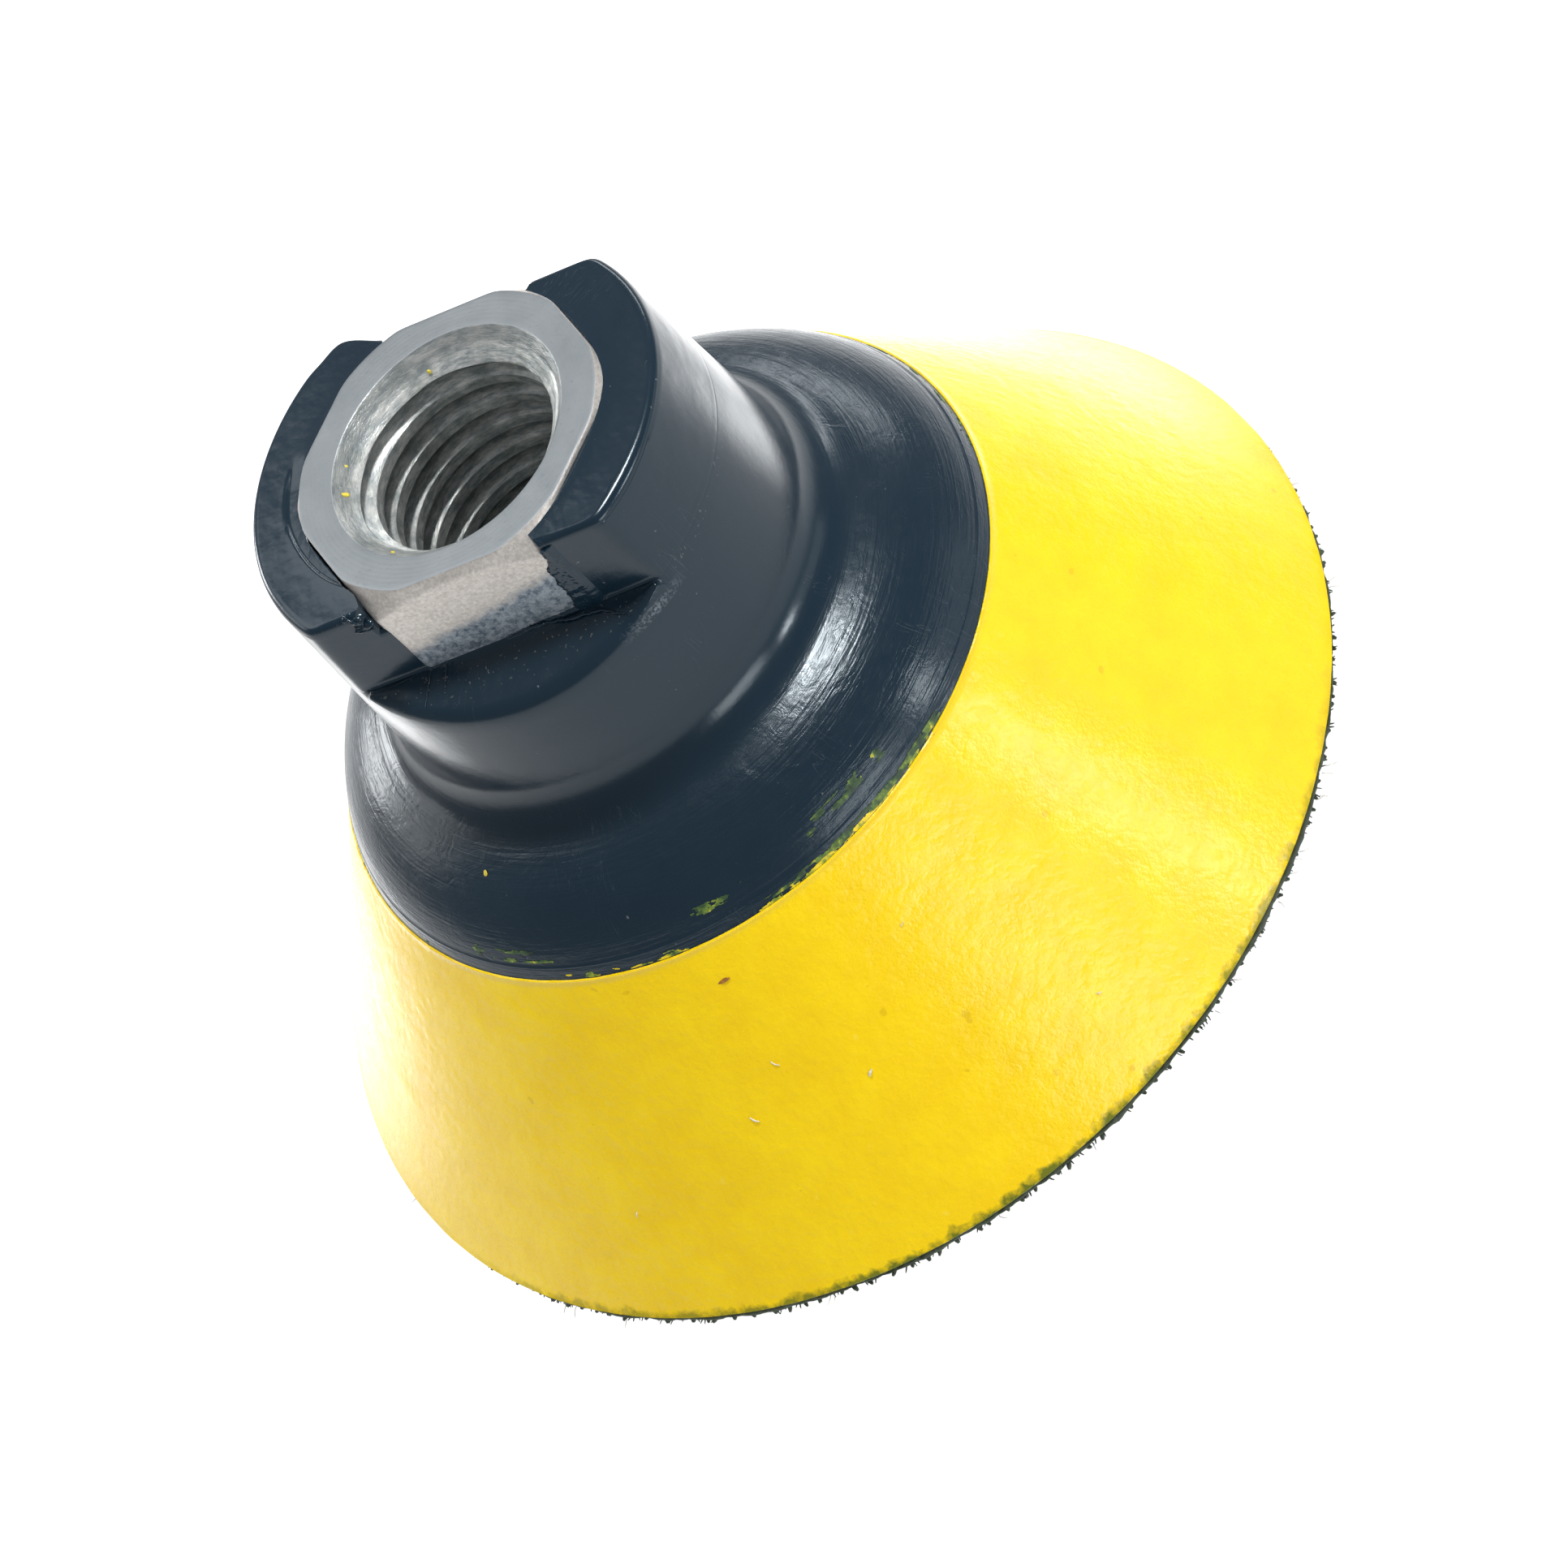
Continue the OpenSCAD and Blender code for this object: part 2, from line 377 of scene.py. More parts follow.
def foam_material():
    """Yellow polyurethane with a satin cast skin: mottled, with pale specks, pores darkened as painted shade, and a
    painted shade along its foot.
    """
    n = Nodes("foam_skin")
    mott = n.noise(330, 4, 0.6)
    fine = n.noise(1500, 3, 0.6)
    big = n.noise(60, 2, 0.5)
    col = n.mix(n.ramp(mott, [(0.3, 0.0), (0.7, 1.0)]), (0.92, 0.60, 0.0), (1.0, 0.70, 0.0))
    col = n.mix(n.math("MULTIPLY", big, 0.35), col, (1.0, 0.74, 0.004))
    # Pores: darkened in colour as painted shade inside them, and also bumped in further down.
    pore = n.voronoi(620)
    size = n.noise(800, 1, 0.5)
    limit = n.math("MULTIPLY", n.ramp(size, [(0.62, 0.0), (0.74, 1.0)]), 0.26)
    hole = n.math("LESS_THAN", pore, limit)
    col = n.mix(n.math("MULTIPLY", hole, 0.35), col, (0.55, 0.34, 0.0))
    pale = n.ramp(n.noise(1250, 2, 0.5), [(0.70, 0.0), (0.78, 1.0)])
    col = n.mix(n.math("MULTIPLY", pale, 0.25), col, (1.0, 0.80, 0.12))
    # Painted shade along the foam's rounded foot, where it meets the tape: a ragged green-black band about half a
    # millimetre high, full on the side around -72 degrees and faint all round.
    x, y, z = n.sep(n.obj)
    rag = n.noise(900, 3, 0.65)
    lift = n.math("SUBTRACT", n.math("DIVIDE", n.math("SUBTRACT", z, Z_FOAM * MM), 0.0010), n.math("MULTIPLY", n.math("SUBTRACT", rag, 0.40), 1.5))
    turn = n.math("ARCTAN2", y, x)
    side = n.math("SUBTRACT", 1.0, n.math("DIVIDE", n.math("ABSOLUTE", n.math("ADD", turn, 1.25)), 1.15), clamp=True)
    foot_shade = n.math("MULTIPLY", n.ramp(lift, [(0.12, 1.0), (0.52, 0.0)]), n.math("ADD", n.math("POWER", side, 0.6), 0.12, clamp=True))
    col = n.mix(n.math("MULTIPLY", foot_shade, 0.92), col, (0.085, 0.13, 0.010))
    rough = n.math("ADD", n.math("MULTIPLY", fine, 0.22), 0.16)
    b = n.bsdf.inputs
    b["Sheen Weight"].default_value = 0.20
    b["Sheen Roughness"].default_value = 0.18
    b["Specular IOR Level"].default_value = 0.55
    skin = n.math("ADD", n.math("MULTIPLY", mott, 0.7), n.math("MULTIPLY", fine, 0.5))
    b1 = n.bump(skin, 0.34, 0.00035)
    b2 = n.bump(n.math("SUBTRACT", 1.0, hole), 0.3, 0.00006, b1)
    return n.finish(col, rough, b2, IOR=1.45)


def residue_material():
    """Thin foam flash over black: olive where thin, yellow where thick."""
    n = Nodes("foam_flash")
    v = n.noise(1500, 3, 0.6)
    col = n.ramp(v, [(0.3, (0.010, 0.028, 0.012)), (0.48, (0.03, 0.075, 0.022)), (0.62, (0.16, 0.24, 0.03)), (0.72, (0.6, 0.52, 0.03))])
    b = n.bump(v, 0.5, 0.0001)
    return n.finish(col, 0.5, b)


def lip_material():
    """Foam that crept over the rim: yellow, greenish where it thins out."""
    n = Nodes("foam_lip")
    v = n.noise(1100, 3, 0.6)
    col = n.ramp(v, [(0.34, (0.03, 0.07, 0.02)), (0.44, (0.22, 0.30, 0.02)), (0.54, (0.80, 0.60, 0.01)), (0.75, (0.95, 0.72, 0.02))])
    return n.finish(col, 0.45, n.bump(v, 0.5, 0.0001))


def crumb_material():
    n = Nodes("foam_crumb")
    v = n.noise(3000, 2, 0.6)
    col = n.ramp(v, [(0.3, (0.55, 0.42, 0.03)), (0.7, (0.92, 0.75, 0.08))])
    return n.finish(col, 0.6, n.bump(v, 0.4, 0.0001))


def lint_material():
    n = Nodes("pale_lint")
    v = n.noise(4000, 2, 0.6)
    col = n.ramp(v, [(0.3, (0.55, 0.55, 0.5)), (0.7, (0.85, 0.84, 0.78))])
    return n.finish(col, 0.7, n.bump(v, 0.4, 0.00005))


def fleck_material():
    n = Nodes("brown_fleck")
    v = n.noise(5000, 2, 0.6)
    col = n.ramp(v, [(0.3, (0.20, 0.07, 0.01)), (0.7, (0.42, 0.18, 0.02))])
    return n.finish(col, 0.6, n.bump(v, 0.4, 0.00005))


def tape_material():
    """Woven ground of the hook tape, coated: dark green-black with a plain weave."""
    n = Nodes("tape_weave")
    x, y, z = n.sep(n.obj)
    wx = n.node("ShaderNodeTexWave", bands_direction="X")
    n.link(n.obj, wx.inputs["Vector"])
    wx.inputs["Scale"].default_value = 480
    wy = n.node("ShaderNodeTexWave", bands_direction="Y")
    n.link(n.obj, wy.inputs["Vector"])
    wy.inputs["Scale"].default_value = 480
    weave = n.math("MAXIMUM", wx.outputs[1], wy.outputs[1])
    v = n.noise(1600, 3, 0.6)
    col = n.mix(v, (0.020, 0.032, 0.021), (0.095, 0.120, 0.082))
    b = n.bump(weave, 0.6, 0.00012)
    return n.finish(col, 0.72, b)


def hook_material():
    """Nylon monofilament: dark, slightly glossy."""
    n = Nodes("hook_nylon")
    v = n.noise(1900, 3, 0.6)
    col = n.mix(v, (0.014, 0.018, 0.016), (0.055, 0.06, 0.055))
    rough = n.math("ADD", n.math("MULTIPLY", v, 0.2), 0.28)
    return n.finish(col, rough, n.bump(v, 0.3, 0.00004))


def glue_material():
    n = Nodes("cured_glue")
    v = n.noise(900, 3, 0.6)
    col = n.mix(v, (0.10, 0.11, 0.02), (0.36, 0.30, 0.05))
    rough = n.math("ADD", n.math("MULTIPLY", v, 0.25), 0.35)
    return n.finish(col, rough, n.bump(v, 0.5, 0.0001))


MAT_FACE = steel_face_material()
MAT_SIDE = steel_side_material()
MAT_THREAD = thread_material()
MAT_HUB = hub_material()
MAT_FOAM = foam_material()
MAT_RESIDUE = residue_material()
MAT_LIP = lip_material()
MAT_CRUMB = crumb_material()
MAT_LINT = lint_material()
MAT_FLECK = fleck_material()
MAT_TAPE = tape_material()
MAT_HOOK = hook_material()
MAT_GLUE = glue_material()


# ---------------------------------------------------------------- threaded insert
def hex_radius(th, half, soft=1.6):
    """Radius of a hexagon with flats facing +Y and -Y, corners broken over a few degrees."""
    p = np.degrees(th) % 60 - 30
    cap = 30 - soft
    q = np.abs(p)
    q = np.where(q > cap, cap + (q - cap) * 0.25, q)
    return half / np.cos(np.radians(q))


def ring_outline(th):
    """Turned end of the bar: a circle clipped by the six flats, deepest on the two that the spanner uses."""
    deg = np.degrees(th) % 360
    k = np.floor(deg / 60).astype(int) % 6
    half = np.where((k == 1) | (k == 4), 9.2, 9.40)
    return smin(np.full(th.shape, 9.72), half / np.cos(np.radians(deg % 60 - 30)), 0.06)


def build_insert():
    n = 480
    th = np.arange(n) * 2 * np.pi / n
    hx = hex_radius(th, AF / 2)
    top = ring_outline(th)
    fall = 0.5 + (hx - AF / 2) * 0.68
    nick = 0.012 * fbm(th / (2 * np.pi) * 48, np.zeros(n), 11, 48, 8)
    rows, mats = [], []

    def add(r, z, m):
        rows.append(polar(r, z, th))
        mats.append(m)

    zs, zi = Z_STEEL, Z_INSERT
    # bottom face, from the bore out, then up the outside with the two retaining grooves
    add(R_MAJOR + 0.05, zi, 1)
    add(8.0, zi, 1)
    add(9.6, zi, 1)
    add(np.minimum(hx, 9.7 + 0.3), zi + 0.2, 1)
    add(hx, zi + 0.9, 1)
    for g0 in (zi + 2.6, zi + 6.8):
        add(hx, g0, 1)
        add(8.6, g0, 1)
        add(8.6, g0 + 2.2, 1)
        add(hx, g0 + 2.2, 1)
    for z in np.linspace(zi + 9.6, zs - 2.4, 12):
        add(hx, z, 1)
    for t in (0.0, 0.5, 0.8, 1.0):
        add(hx, (zs - 2.2) + t * (2.2 - fall - 0.14), 1)
    # corner chamfer, edges broken at both ends
    e = 0.05
    add(hx - 0.04 + nick, zs - fall + 0.02, 2)
    for t in (0.12, 0.35, 0.6, 0.85):
        add((hx - 0.06) + (top - hx + 0.06 + 0.02) * t + nick, (zs - fall + 0.06) + t * (fall - 0.06 - e), 2)
    add(top + 0.015 + nick, zs - 0.055, 2)
    add(top - 0.02 + nick, zs - 0.012, 2)
    add(top - 0.06 + nick, zs, 0)
    for t in np.linspace(0.12, 0.9, 8):
        add((top - 0.06) * (1 - t) + (R_MOUTH + 0.08) * t, zs, 0)
    add(R_MOUTH + 0.08, zs, 0)
    add(R_MOUTH + 0.03, zs - 0.008, 0)
    add(R_MOUTH - 0.01, zs - 0.035, 3)
    v1, f1 = ring_grid(rows)
    m1 = []
    for j in range(len(rows) - 1):
        m1 += [mats[j + 1]] * n

    # thread: rows follow the helix, so the crest's edges stay crisp
    per = 24
    dz = PITCH / per
    crest, root = 0.78, 0.22
    flank = (PITCH - crest - root) / 2
    w0 = (Z_STEEL - 1.3) - PITCH * math.radians(124) / (2 * math.pi)
    z_top = zs - 0.035
    length = z_top - zi
    count = int(math.ceil(length / dz)) + per + 2
    k = np.arange(count)

    def depth(w):
        u = (w - w0) % PITCH
        d = np.where(u < crest, 0.0, np.where(u < crest + flank, (u - crest) / flank, np.where(u < crest + flank + root, 1.0, 1 - (u - crest - flank - root) / flank)))
        return d

    verts = np.zeros((count, n, 3))
    w_start = math.ceil((z_top + 0.0 - w0) / dz) * dz + w0
    for i, t in enumerate(th):
        w = w_start - k * dz
        z = w + PITCH * t / (2 * math.pi)
        d = depth(w)
        d = np.clip(d * 1.04 - 0.02, 0, 1)
        r = R_MINOR + (R_MAJOR - R_MINOR) * d
        r = r - 0.035 * np.where((d < 0.05), 0.0, 0.0)
        cone = (R_MOUTH - 0.01) - np.maximum(z_top - z, 0) * 1.0
        r = np.where(z > z_top - 2.0, np.maximum(r, cone), r)
        z = np.clip(z, zi, z_top)
        r = np.where(z >= z_top - 1e-9, R_MOUTH - 0.01, r)
        r = np.where(z <= zi + 1e-9, R_MAJOR + 0.05, r)
        verts[:, i, 0] = r * math.cos(t)
        verts[:, i, 1] = r * math.sin(t)
        verts[:, i, 2] = z
    base = len(v1)
    # the helix rows meet themselves one pitch further on at the seam
    v2 = verts.reshape(-1, 3)
    f2, m2 = [], []
    for j in range(count - 1):
        for i in range(n - 1):
            a = base + j * n + i
            f2.append((a, a + 1, a + n + 1, a + n))
            m2.append(3)
        # seam: theta 2 pi at row j is theta 0 at row j - per
    for j in range(per, count - 1):
        a = base + j * n + (n - 1)
        b = base + (j - per) * n
        f2.append((a, b, b + n, a + n))
        m2.append(3)
    # above the first full turn at the seam everything lies on the mouth's edge
    allv = np.concatenate([v1, v2])
    me_faces = f1 + f2
    ob = mesh_from("threaded_insert_detail", allv, me_faces, MAT_FACE, sharp_deg=32, merge=2e-6)
    for m in (MAT_SIDE, MAT_SIDE, MAT_THREAD):
        ob.data.materials.append(m)
    # materials by place, because merged faces were renumbered
    me = ob.data
    c = np.zeros(len(me.polygons) * 3)
    me.polygons.foreach_get("center", c)
    c = c.reshape(-1, 3) / MM
    nr = np.zeros(len(me.polygons) * 3)
    me.polygons.foreach_get("normal", nr)
    nr = nr.reshape(-1, 3)
    rr = np.hypot(c[:, 0], c[:, 1])
    inward = (c[:, 0] * nr[:, 0] + c[:, 1] * nr[:, 1]) / np.maximum(rr, 1e-6)
    idx = np.where(rr < R_MOUTH + 0.02, 3, np.where(c[:, 2] > zs - 0.03, 0, 1))
    me.polygons.foreach_set("material_index", idx.astype(int).tolist())
    return ob


# ---------------------------------------------------------------- hub moulding
BAND_R = 21.07
DOME_R = 9.0
D_END, D_START = 64.0, 20.0
NECK_R = 13.85
COLLAR_R = 13.25
Z_COLLAR = Z_STEEL - 0.45


def dome_profile(k_dome=26, k_fillet=16):
    cx = BAND_R - DOME_R * math.sin(math.radians(D_END))
    cz = Z_RIM + 0.8 - DOME_R * math.cos(math.radians(D_END))
    jx = cx + DOME_R * math.sin(math.radians(D_START))
    jz = cz + DOME_R * math.cos(math.radians(D_START))
    fr = (jx - NECK_R) / (1 - math.sin(math.radians(D_START)))
    fx = jx + fr * math.sin(math.radians(D_START))
    fz = jz + fr * math.cos(math.radians(D_START))
    fil = [(fx - fr * math.sin(math.radians(b)), fz - fr * math.cos(math.radians(b))) for b in np.linspace(90, D_START, k_fillet)]
    dome = [(cx + DOME_R * math.sin(math.radians(b)), cz + DOME_R * math.cos(math.radians(b))) for b in np.linspace(D_START, D_END, k_dome)[1:]]
    return fil, dome


def spanner_plane(th):
    """Distance of the cut face from the axis plane. One far corner was left fuller by the mould."""
    deg = (np.degrees(th) + 180) % 360 - 180
    return PLANE + 1.25 * np.exp(-(((deg - 125) / 7.0) ** 2))


def build_hub():
    n = 960
    th = np.arange(n) * 2 * np.pi / n
    u = th / (2 * np.pi)
    s = np.abs(np.sin(th))
    cut = spanner_plane(th) / np.maximum(s, 1e-3)
    fil, dome = dome_profile()
    z_neck_end = fil[0][1]

    def rc(z):
        return COLLAR_R + (NECK_R - COLLAR_R) * (Z_COLLAR - z) / (Z_COLLAR - z_neck_end)

    def wall(z):
        return smin(rc(z) + 0.0 * th, np.minimum(cut, 60.0), 0.2)

    hx = hex_radius(th, AF / 2)
    ring = ring_outline(th)
    rows = []

    def add(r, z):
        rows.append(polar(r, z, th))

    w_top = wall(Z_COLLAR)
    x_w, y_w = w_top * np.cos(th), w_top * np.sin(th)
    rag = fbm(u * 160, 0 * u, 24, 160, 8, 4)
    near, far = y_w < -6, y_w > 6
    xl = np.where(near, -6.1, -4.55) + 0.5 * rag
    xr = np.where(near, 5.35, 5.42) + 0.25 * rag
    wide = np.where(near, 0.42, 0.1)
    hide = np.where(near | far, smooth(x_w, xl - wide, xl + 0.12) * (1 - smooth(x_w, xr - 0.1, xr + 0.1)), 0.0)
    deg = (np.degrees(th) + 180) % 360 - 180
    edge = 0.46 + 0.14 * np.exp(-(((deg + 33) / 13.0) ** 2))
    dw = np.degrees(th) % 360
    # hollow that holds the insert, from its floor up to the ring
    for r in (0.0, 3.0, 6.0, 8.6):
        add(r, Z_INSERT - 0.01)
    add(9.55, Z_INSERT - 0.01)
    add(hx + 0.004, Z_INSERT + 0.9)
    for z in np.linspace(Z_INSERT + 2.0, Z_STEEL - 2.9, 10):
        add(np.minimum(hx + 0.004, wall(min(z, Z_COLLAR)) - 0.12), z)
    bare = 1.15 * np.exp(-(((deg + 121) / 6.0) ** 2)) + 0.16 * smooth(deg, -172, -160) * (1 - smooth(deg, -132, -124))
    r_in = np.minimum(ring + 0.03 + bare + 0.07 * rag * (bare > 0.05) + 0.05 * fbm(u * 260, 0 * u, 29, 260, 8), w_top - edge - 0.03)
    add(r_in - 0.01, Z_COLLAR - 0.5 - 2.0 * hide)
    add(r_in, Z_COLLAR - 0.02 - 1.9 * hide)
    crease = np.interp(dw, [160, 171, 185.5, 201.3, 215.4, 228.8], [10.95, 10.95, 10.85, 10.45, 10.16, 9.85])
    groove = smooth(dw, 160, 174) * (1 - smooth(dw, 224, 231))
    for t in np.concatenate([np.linspace(0.012, 0.34, 18), np.linspace(0.37, 1, 14)]):
        r = r_in + (w_top - edge - r_in) * t
        lift = 0.16 * np.exp(-((r - 9.7) / 0.7).clip(0))
        drop = 0.17 * groove * (1 - smooth(r, crease - 0.16, crease + 0.05))
        wav = 0.05 * fbm(u * 30, 0 * u + r * 0.7, 31, 30, 64) + 0.012 * fbm(u * 200, 0 * u + r * 3, 33, 200, 64, 2)
        add(r, Z_COLLAR + (lift - drop) * (1 - hide) + wav - 1.9 * hide)
    # rounded rim
    for b in np.linspace(10, 90, 9):
        a = math.radians(b)
        add(w_top - edge * (1 - math.sin(a)), Z_COLLAR - edge * (1 - math.cos(a)) - 1.9 * hide)
    # wall down to the ledge
    for z in np.linspace(Z_COLLAR - 0.55, Z_LEDGE + 0.35, 24):
        rip = 0.03 * fbm(u * 40, 0 * u + z * 0.9, 41, 40, 64) + 0.01 * fbm(u * 160, 0 * u + z * 3, 43, 160, 64, 2)
        add(wall(z) + rip, np.minimum(z, Z_COLLAR - edge - 0.02 - 1.9 * hide))
    # ledge: small inner fillet, gentle fall, rounded outer edge
    wl, co = wall(Z_LEDGE), rc(Z_LEDGE - 1.3) + 0 * th
    d = np.clip(co - wl, 0, None)
    m = smooth(d, 0.05, 0.6)
    for f in (0.18, 0.08, 0.02):
        add(wl + m * (0.25 - math.sqrt(max(0, 0.25**2 - (0.25 - f) ** 2))), Z_LEDGE + f - (1 - m) * (0.25 - f) * 0.4)
    scuff = np.exp(-(((deg + 48) / 9.0) ** 2))
    for t in (0.06, 0.14, 0.22, 0.32, 0.42, 0.52, 0.60, 0.68, 0.75, 0.81, 0.86, 0.90, 0.935, 0.962, 0.985, 1.0):
        r = wl + d * t
        fall = 0.29 * np.clip(r * s - PLANE, 0, None)
        round_r = (0.75 - 0.35 * scuff) * np.clip(d / 1.6, 0.02, 1)
        left = np.clip(round_r - d * (1 - t), 0, None)
        rnd = round_r - np.sqrt(np.clip(round_r**2 - left**2, 0, None))
        wav = 0.05 * fbm(u * 60, 0 * u + t * 5, 51, 60, 64) + 0.05 * scuff * fbm(u * 420, 0 * u + t * 17, 53, 420, 64, 3)
        add(r, Z_LEDGE - 0.02 - m * (fall + rnd) - (1 - m) * t * 1.1 + wav * m)
    for z in np.linspace(Z_LEDGE - 2.35, z_neck_end + 0.25, 14):
        rip = 0.02 * fbm(u * 30, 0 * u + z * 0.6, 41, 30, 64)
        add(rc(z) + rip * smooth(z, z_neck_end, z_neck_end + 1.5), z)
    swell = 0.02 * fbm(u * 16, 0 * u, 62, 16, 8, 2)
    for r, z in fil + dome:
        fold = 0.0 * th
        for r0, r1, a0, a1, hgt, wid in ((17.3, 20.6, -82.2, -86.2, 0.016, 0.45), (15.9, 19.7, -61.6, -58.8, 0.014, 0.6), (18.2, 20.4, -52.0, -57.0, 0.010, 0.5)):
            span = smooth(np.array(r), r0, r0 + 0.6) * (1 - smooth(np.array(r), r1 - 0.8, r1))
            at = a0 + (a1 - a0) * (r - r0) / (r1 - r0) + 1.2 * math.sin(r * 2.1)
            q = (deg - at) / wid
            fold = fold + hgt * span * np.where(q < 0, np.exp(-((q / 3.5) ** 2)), np.exp(-(q**2)))
        add(r + swell * smooth(r, 14.5, 17) * (1 - smooth(r, 20, 21)) + fold * 0.5, z + fold)
    # crease, bevelled band, lower edge
    for r, z in ((21.10, 0.775), (21.115, 0.75), (21.125, 0.72), (21.16, 0.66), (21.26, 0.42), (21.37, 0.15), (21.42, 0.06), (21.44, 0.02), (21.40, 0.0), (21.2, -0.005)):
        add(r + 0.02 * fbm(u * 80, 0 * u + z, 61, 80, 8), Z_RIM + z)
    # underside with the dovetail ring and the boss
    for r, z in ((19.5, 0), (17.0, 0), (17.25, -1.2), (17.5, -2.4), (16.0, -2.4), (14.5, -2.4), (14.75, -1.2), (15.0, 0), (13.5, 0), (12.5, 0), (12.5, -1), (12.5, -2.0), (8, -2.0), (4, -2.0), (0, -2.0)):
        add(r, Z_RIM + z)
    v, f = ring_grid(rows)
    return mesh_from("hub_detail", v, f, MAT_HUB, sharp_deg=42, merge=1e-6)


def build_flash():
    """Thin mould flash that laps over the right side and the foot of the near flat."""
    nx, nz_ = 300, 150
    X = np.linspace(-1.9, 6.6, nx)[:, None] * np.ones((1, nz_))
    Z = np.linspace(-7.0, -0.75, nz_)[None, :] * np.ones((nx, 1))
    big = fbm((X + 8) * 1.5, (Z + 8) * 1.5, 91, 64, 64, 4)
    fine = fbm((X + 8) * 5.5, (Z + 8) * 5.5, 95, 256, 256, 3)
    xb = np.interp(Z, [-6.5, -3.1, -2.0, -1.0], [4.42, 4.75, 5.2, 5.36])
    a = X - xb - 0.55 * big - 0.16 * fine
    zb = np.interp(X, [-1.9, 0, 2, 4.5], [-6.62, -6.36, -6.2, -6.1])
    b = (zb - Z) + 0.35 * big + 0.10 * fine
    depth = np.maximum(a, b)
    top_end = np.interp(X, [4.3, 5.0, 5.5, 6.6], [-2.0, -1.15, -1.0, -0.85])
    on = (depth > 0) & (Z < top_end)
    h = 0.02 + 0.11 * smooth(depth, 0, 0.22) - 0.07 * smooth(depth, 0.3, 0.9) + 0.10 * np.abs(big) + 0.03 * fine
    h = h * (1 - smooth(X, 5.7, 6.5)) - 0.16 * smooth(X, 5.7, 6.5)
    top = np.stack([X, -(AF / 2) - np.maximum(h, -0.14), Z_STEEL + Z], -1)
    low = np.stack([X, -(AF / 2) + 0.16 + 0 * X, Z_STEEL + Z], -1)
    return cells_to_mesh("hub_flash", top, low, on, MAT_HUB)


def strand(name, points, radii, material, sides=8, subdiv=6, seed=3, wobble=0.0):
    """A thin bent thread of material through a few points, smoothed between them."""
    p = np.asarray(points, float)
    t = np.linspace(0, len(p) - 1, (len(p) - 1) * subdiv + 1)
    i = np.clip(np.floor(t).astype(int), 0, len(p) - 2)
    f = (t - i)[:, None]
    prev, nxt = p[np.maximum(i - 1, 0)], p[np.minimum(i + 2, len(p) - 1)]
    a, b = p[i], p[i + 1]
    q = 0.5 * (2 * a + (b - prev) * f + (2 * prev - 5 * a + 4 * b - nxt) * f**2 + (3 * a - prev - 3 * b + nxt) * f**3)
    rad = np.interp(t, range(len(p)), radii)
    rng = np.random.RandomState(seed)
    q = q + rng.normal(0, 1, q.shape) * wobble
    rad = rad * (1 + 0.25 * rng.uniform(-1, 1, rad.shape) * (wobble > 0))
    v, fc = tube(q, rad, sides)
    return mesh_from(name, v, fc, material, sharp_deg=70, merge=1e-10)


def lump(name, centre, size, material, seed, flat=1.0, normal=(0, 0, 1), along=(1, 0, 0), stretch=1.0):
    """An irregular crumb, flattened along its normal."""
    import bmesh

    bm = bmesh.new()
    bmesh.ops.create_icosphere(bm, subdivisions=3, radius=1.0)
    c = np.array([v.co for v in bm.verts])
    fc = [tuple(v.index for v in f.verts) for f in bm.faces]
    bm.free()
    rng = np.random.RandomState(seed)
    k = rng.normal(0, 1.6, (5, 3))
    ph = rng.uniform(0, 6.28, 5)
    g = 1 + 0.16 * sum(np.sin(c @ k[j] + ph[j]) for j in range(5))
    c = c * g[:, None]
    nz = np.asarray(normal, float)
    nz /= np.linalg.norm(nz)
    ax = np.asarray(along, float)
    ax = ax - nz * (ax @ nz)
    ax /= np.linalg.norm(ax)
    ay = np.cross(nz, ax)
    v = np.asarray(centre) + size * (c[:, :1] * ax * stretch + c[:, 1:2] * ay + c[:, 2:] * nz * flat)
    return mesh_from(name, v, fc, material, sharp_deg=80, merge=1e-10)


def on_foam(r, deg, out=0.0):
    """Point on the foam's side at radius r, and the outward normal there."""
    a = math.radians(deg)
    slope = (Z_RIM - Z_FOAM) / (33.3 - 21.45)
    z = Z_RIM - (r - 21.45) * slope
    nn = np.array([slope * math.cos(a), slope * math.sin(a), 1.0])
    nn /= np.linalg.norm(nn)
    return np.array([r * math.cos(a), r * math.sin(a), z]) + nn * out, nn


def profile_point(sarc):
    """Point on the hub's dome and band at arc length sarc up from the rim, with the outward normal."""
    fil, dome = dome_profile(60, 40)
    pts = np.array([(21.43, Z_RIM + 0.02), (21.13, Z_RIM + 0.72)] + dome[::-1] + fil[::-1])
    seg = np.hypot(*np.diff(pts, axis=0).T)
    cum = np.concatenate([[0], np.cumsum(seg)])
    r = np.interp(sarc, cum, pts[:, 0])
    z = np.interp(sarc, cum, pts[:, 1])
    e = 0.15
    dr = np.interp(sarc + e, cum, pts[:, 0]) - np.interp(sarc - e, cum, pts[:, 0])
    dz = np.interp(sarc + e, cum, pts[:, 1]) - np.interp(sarc - e, cum, pts[:, 1])
    ln = np.hypot(dr, dz)
    return r, z, dz / ln, -dr / ln


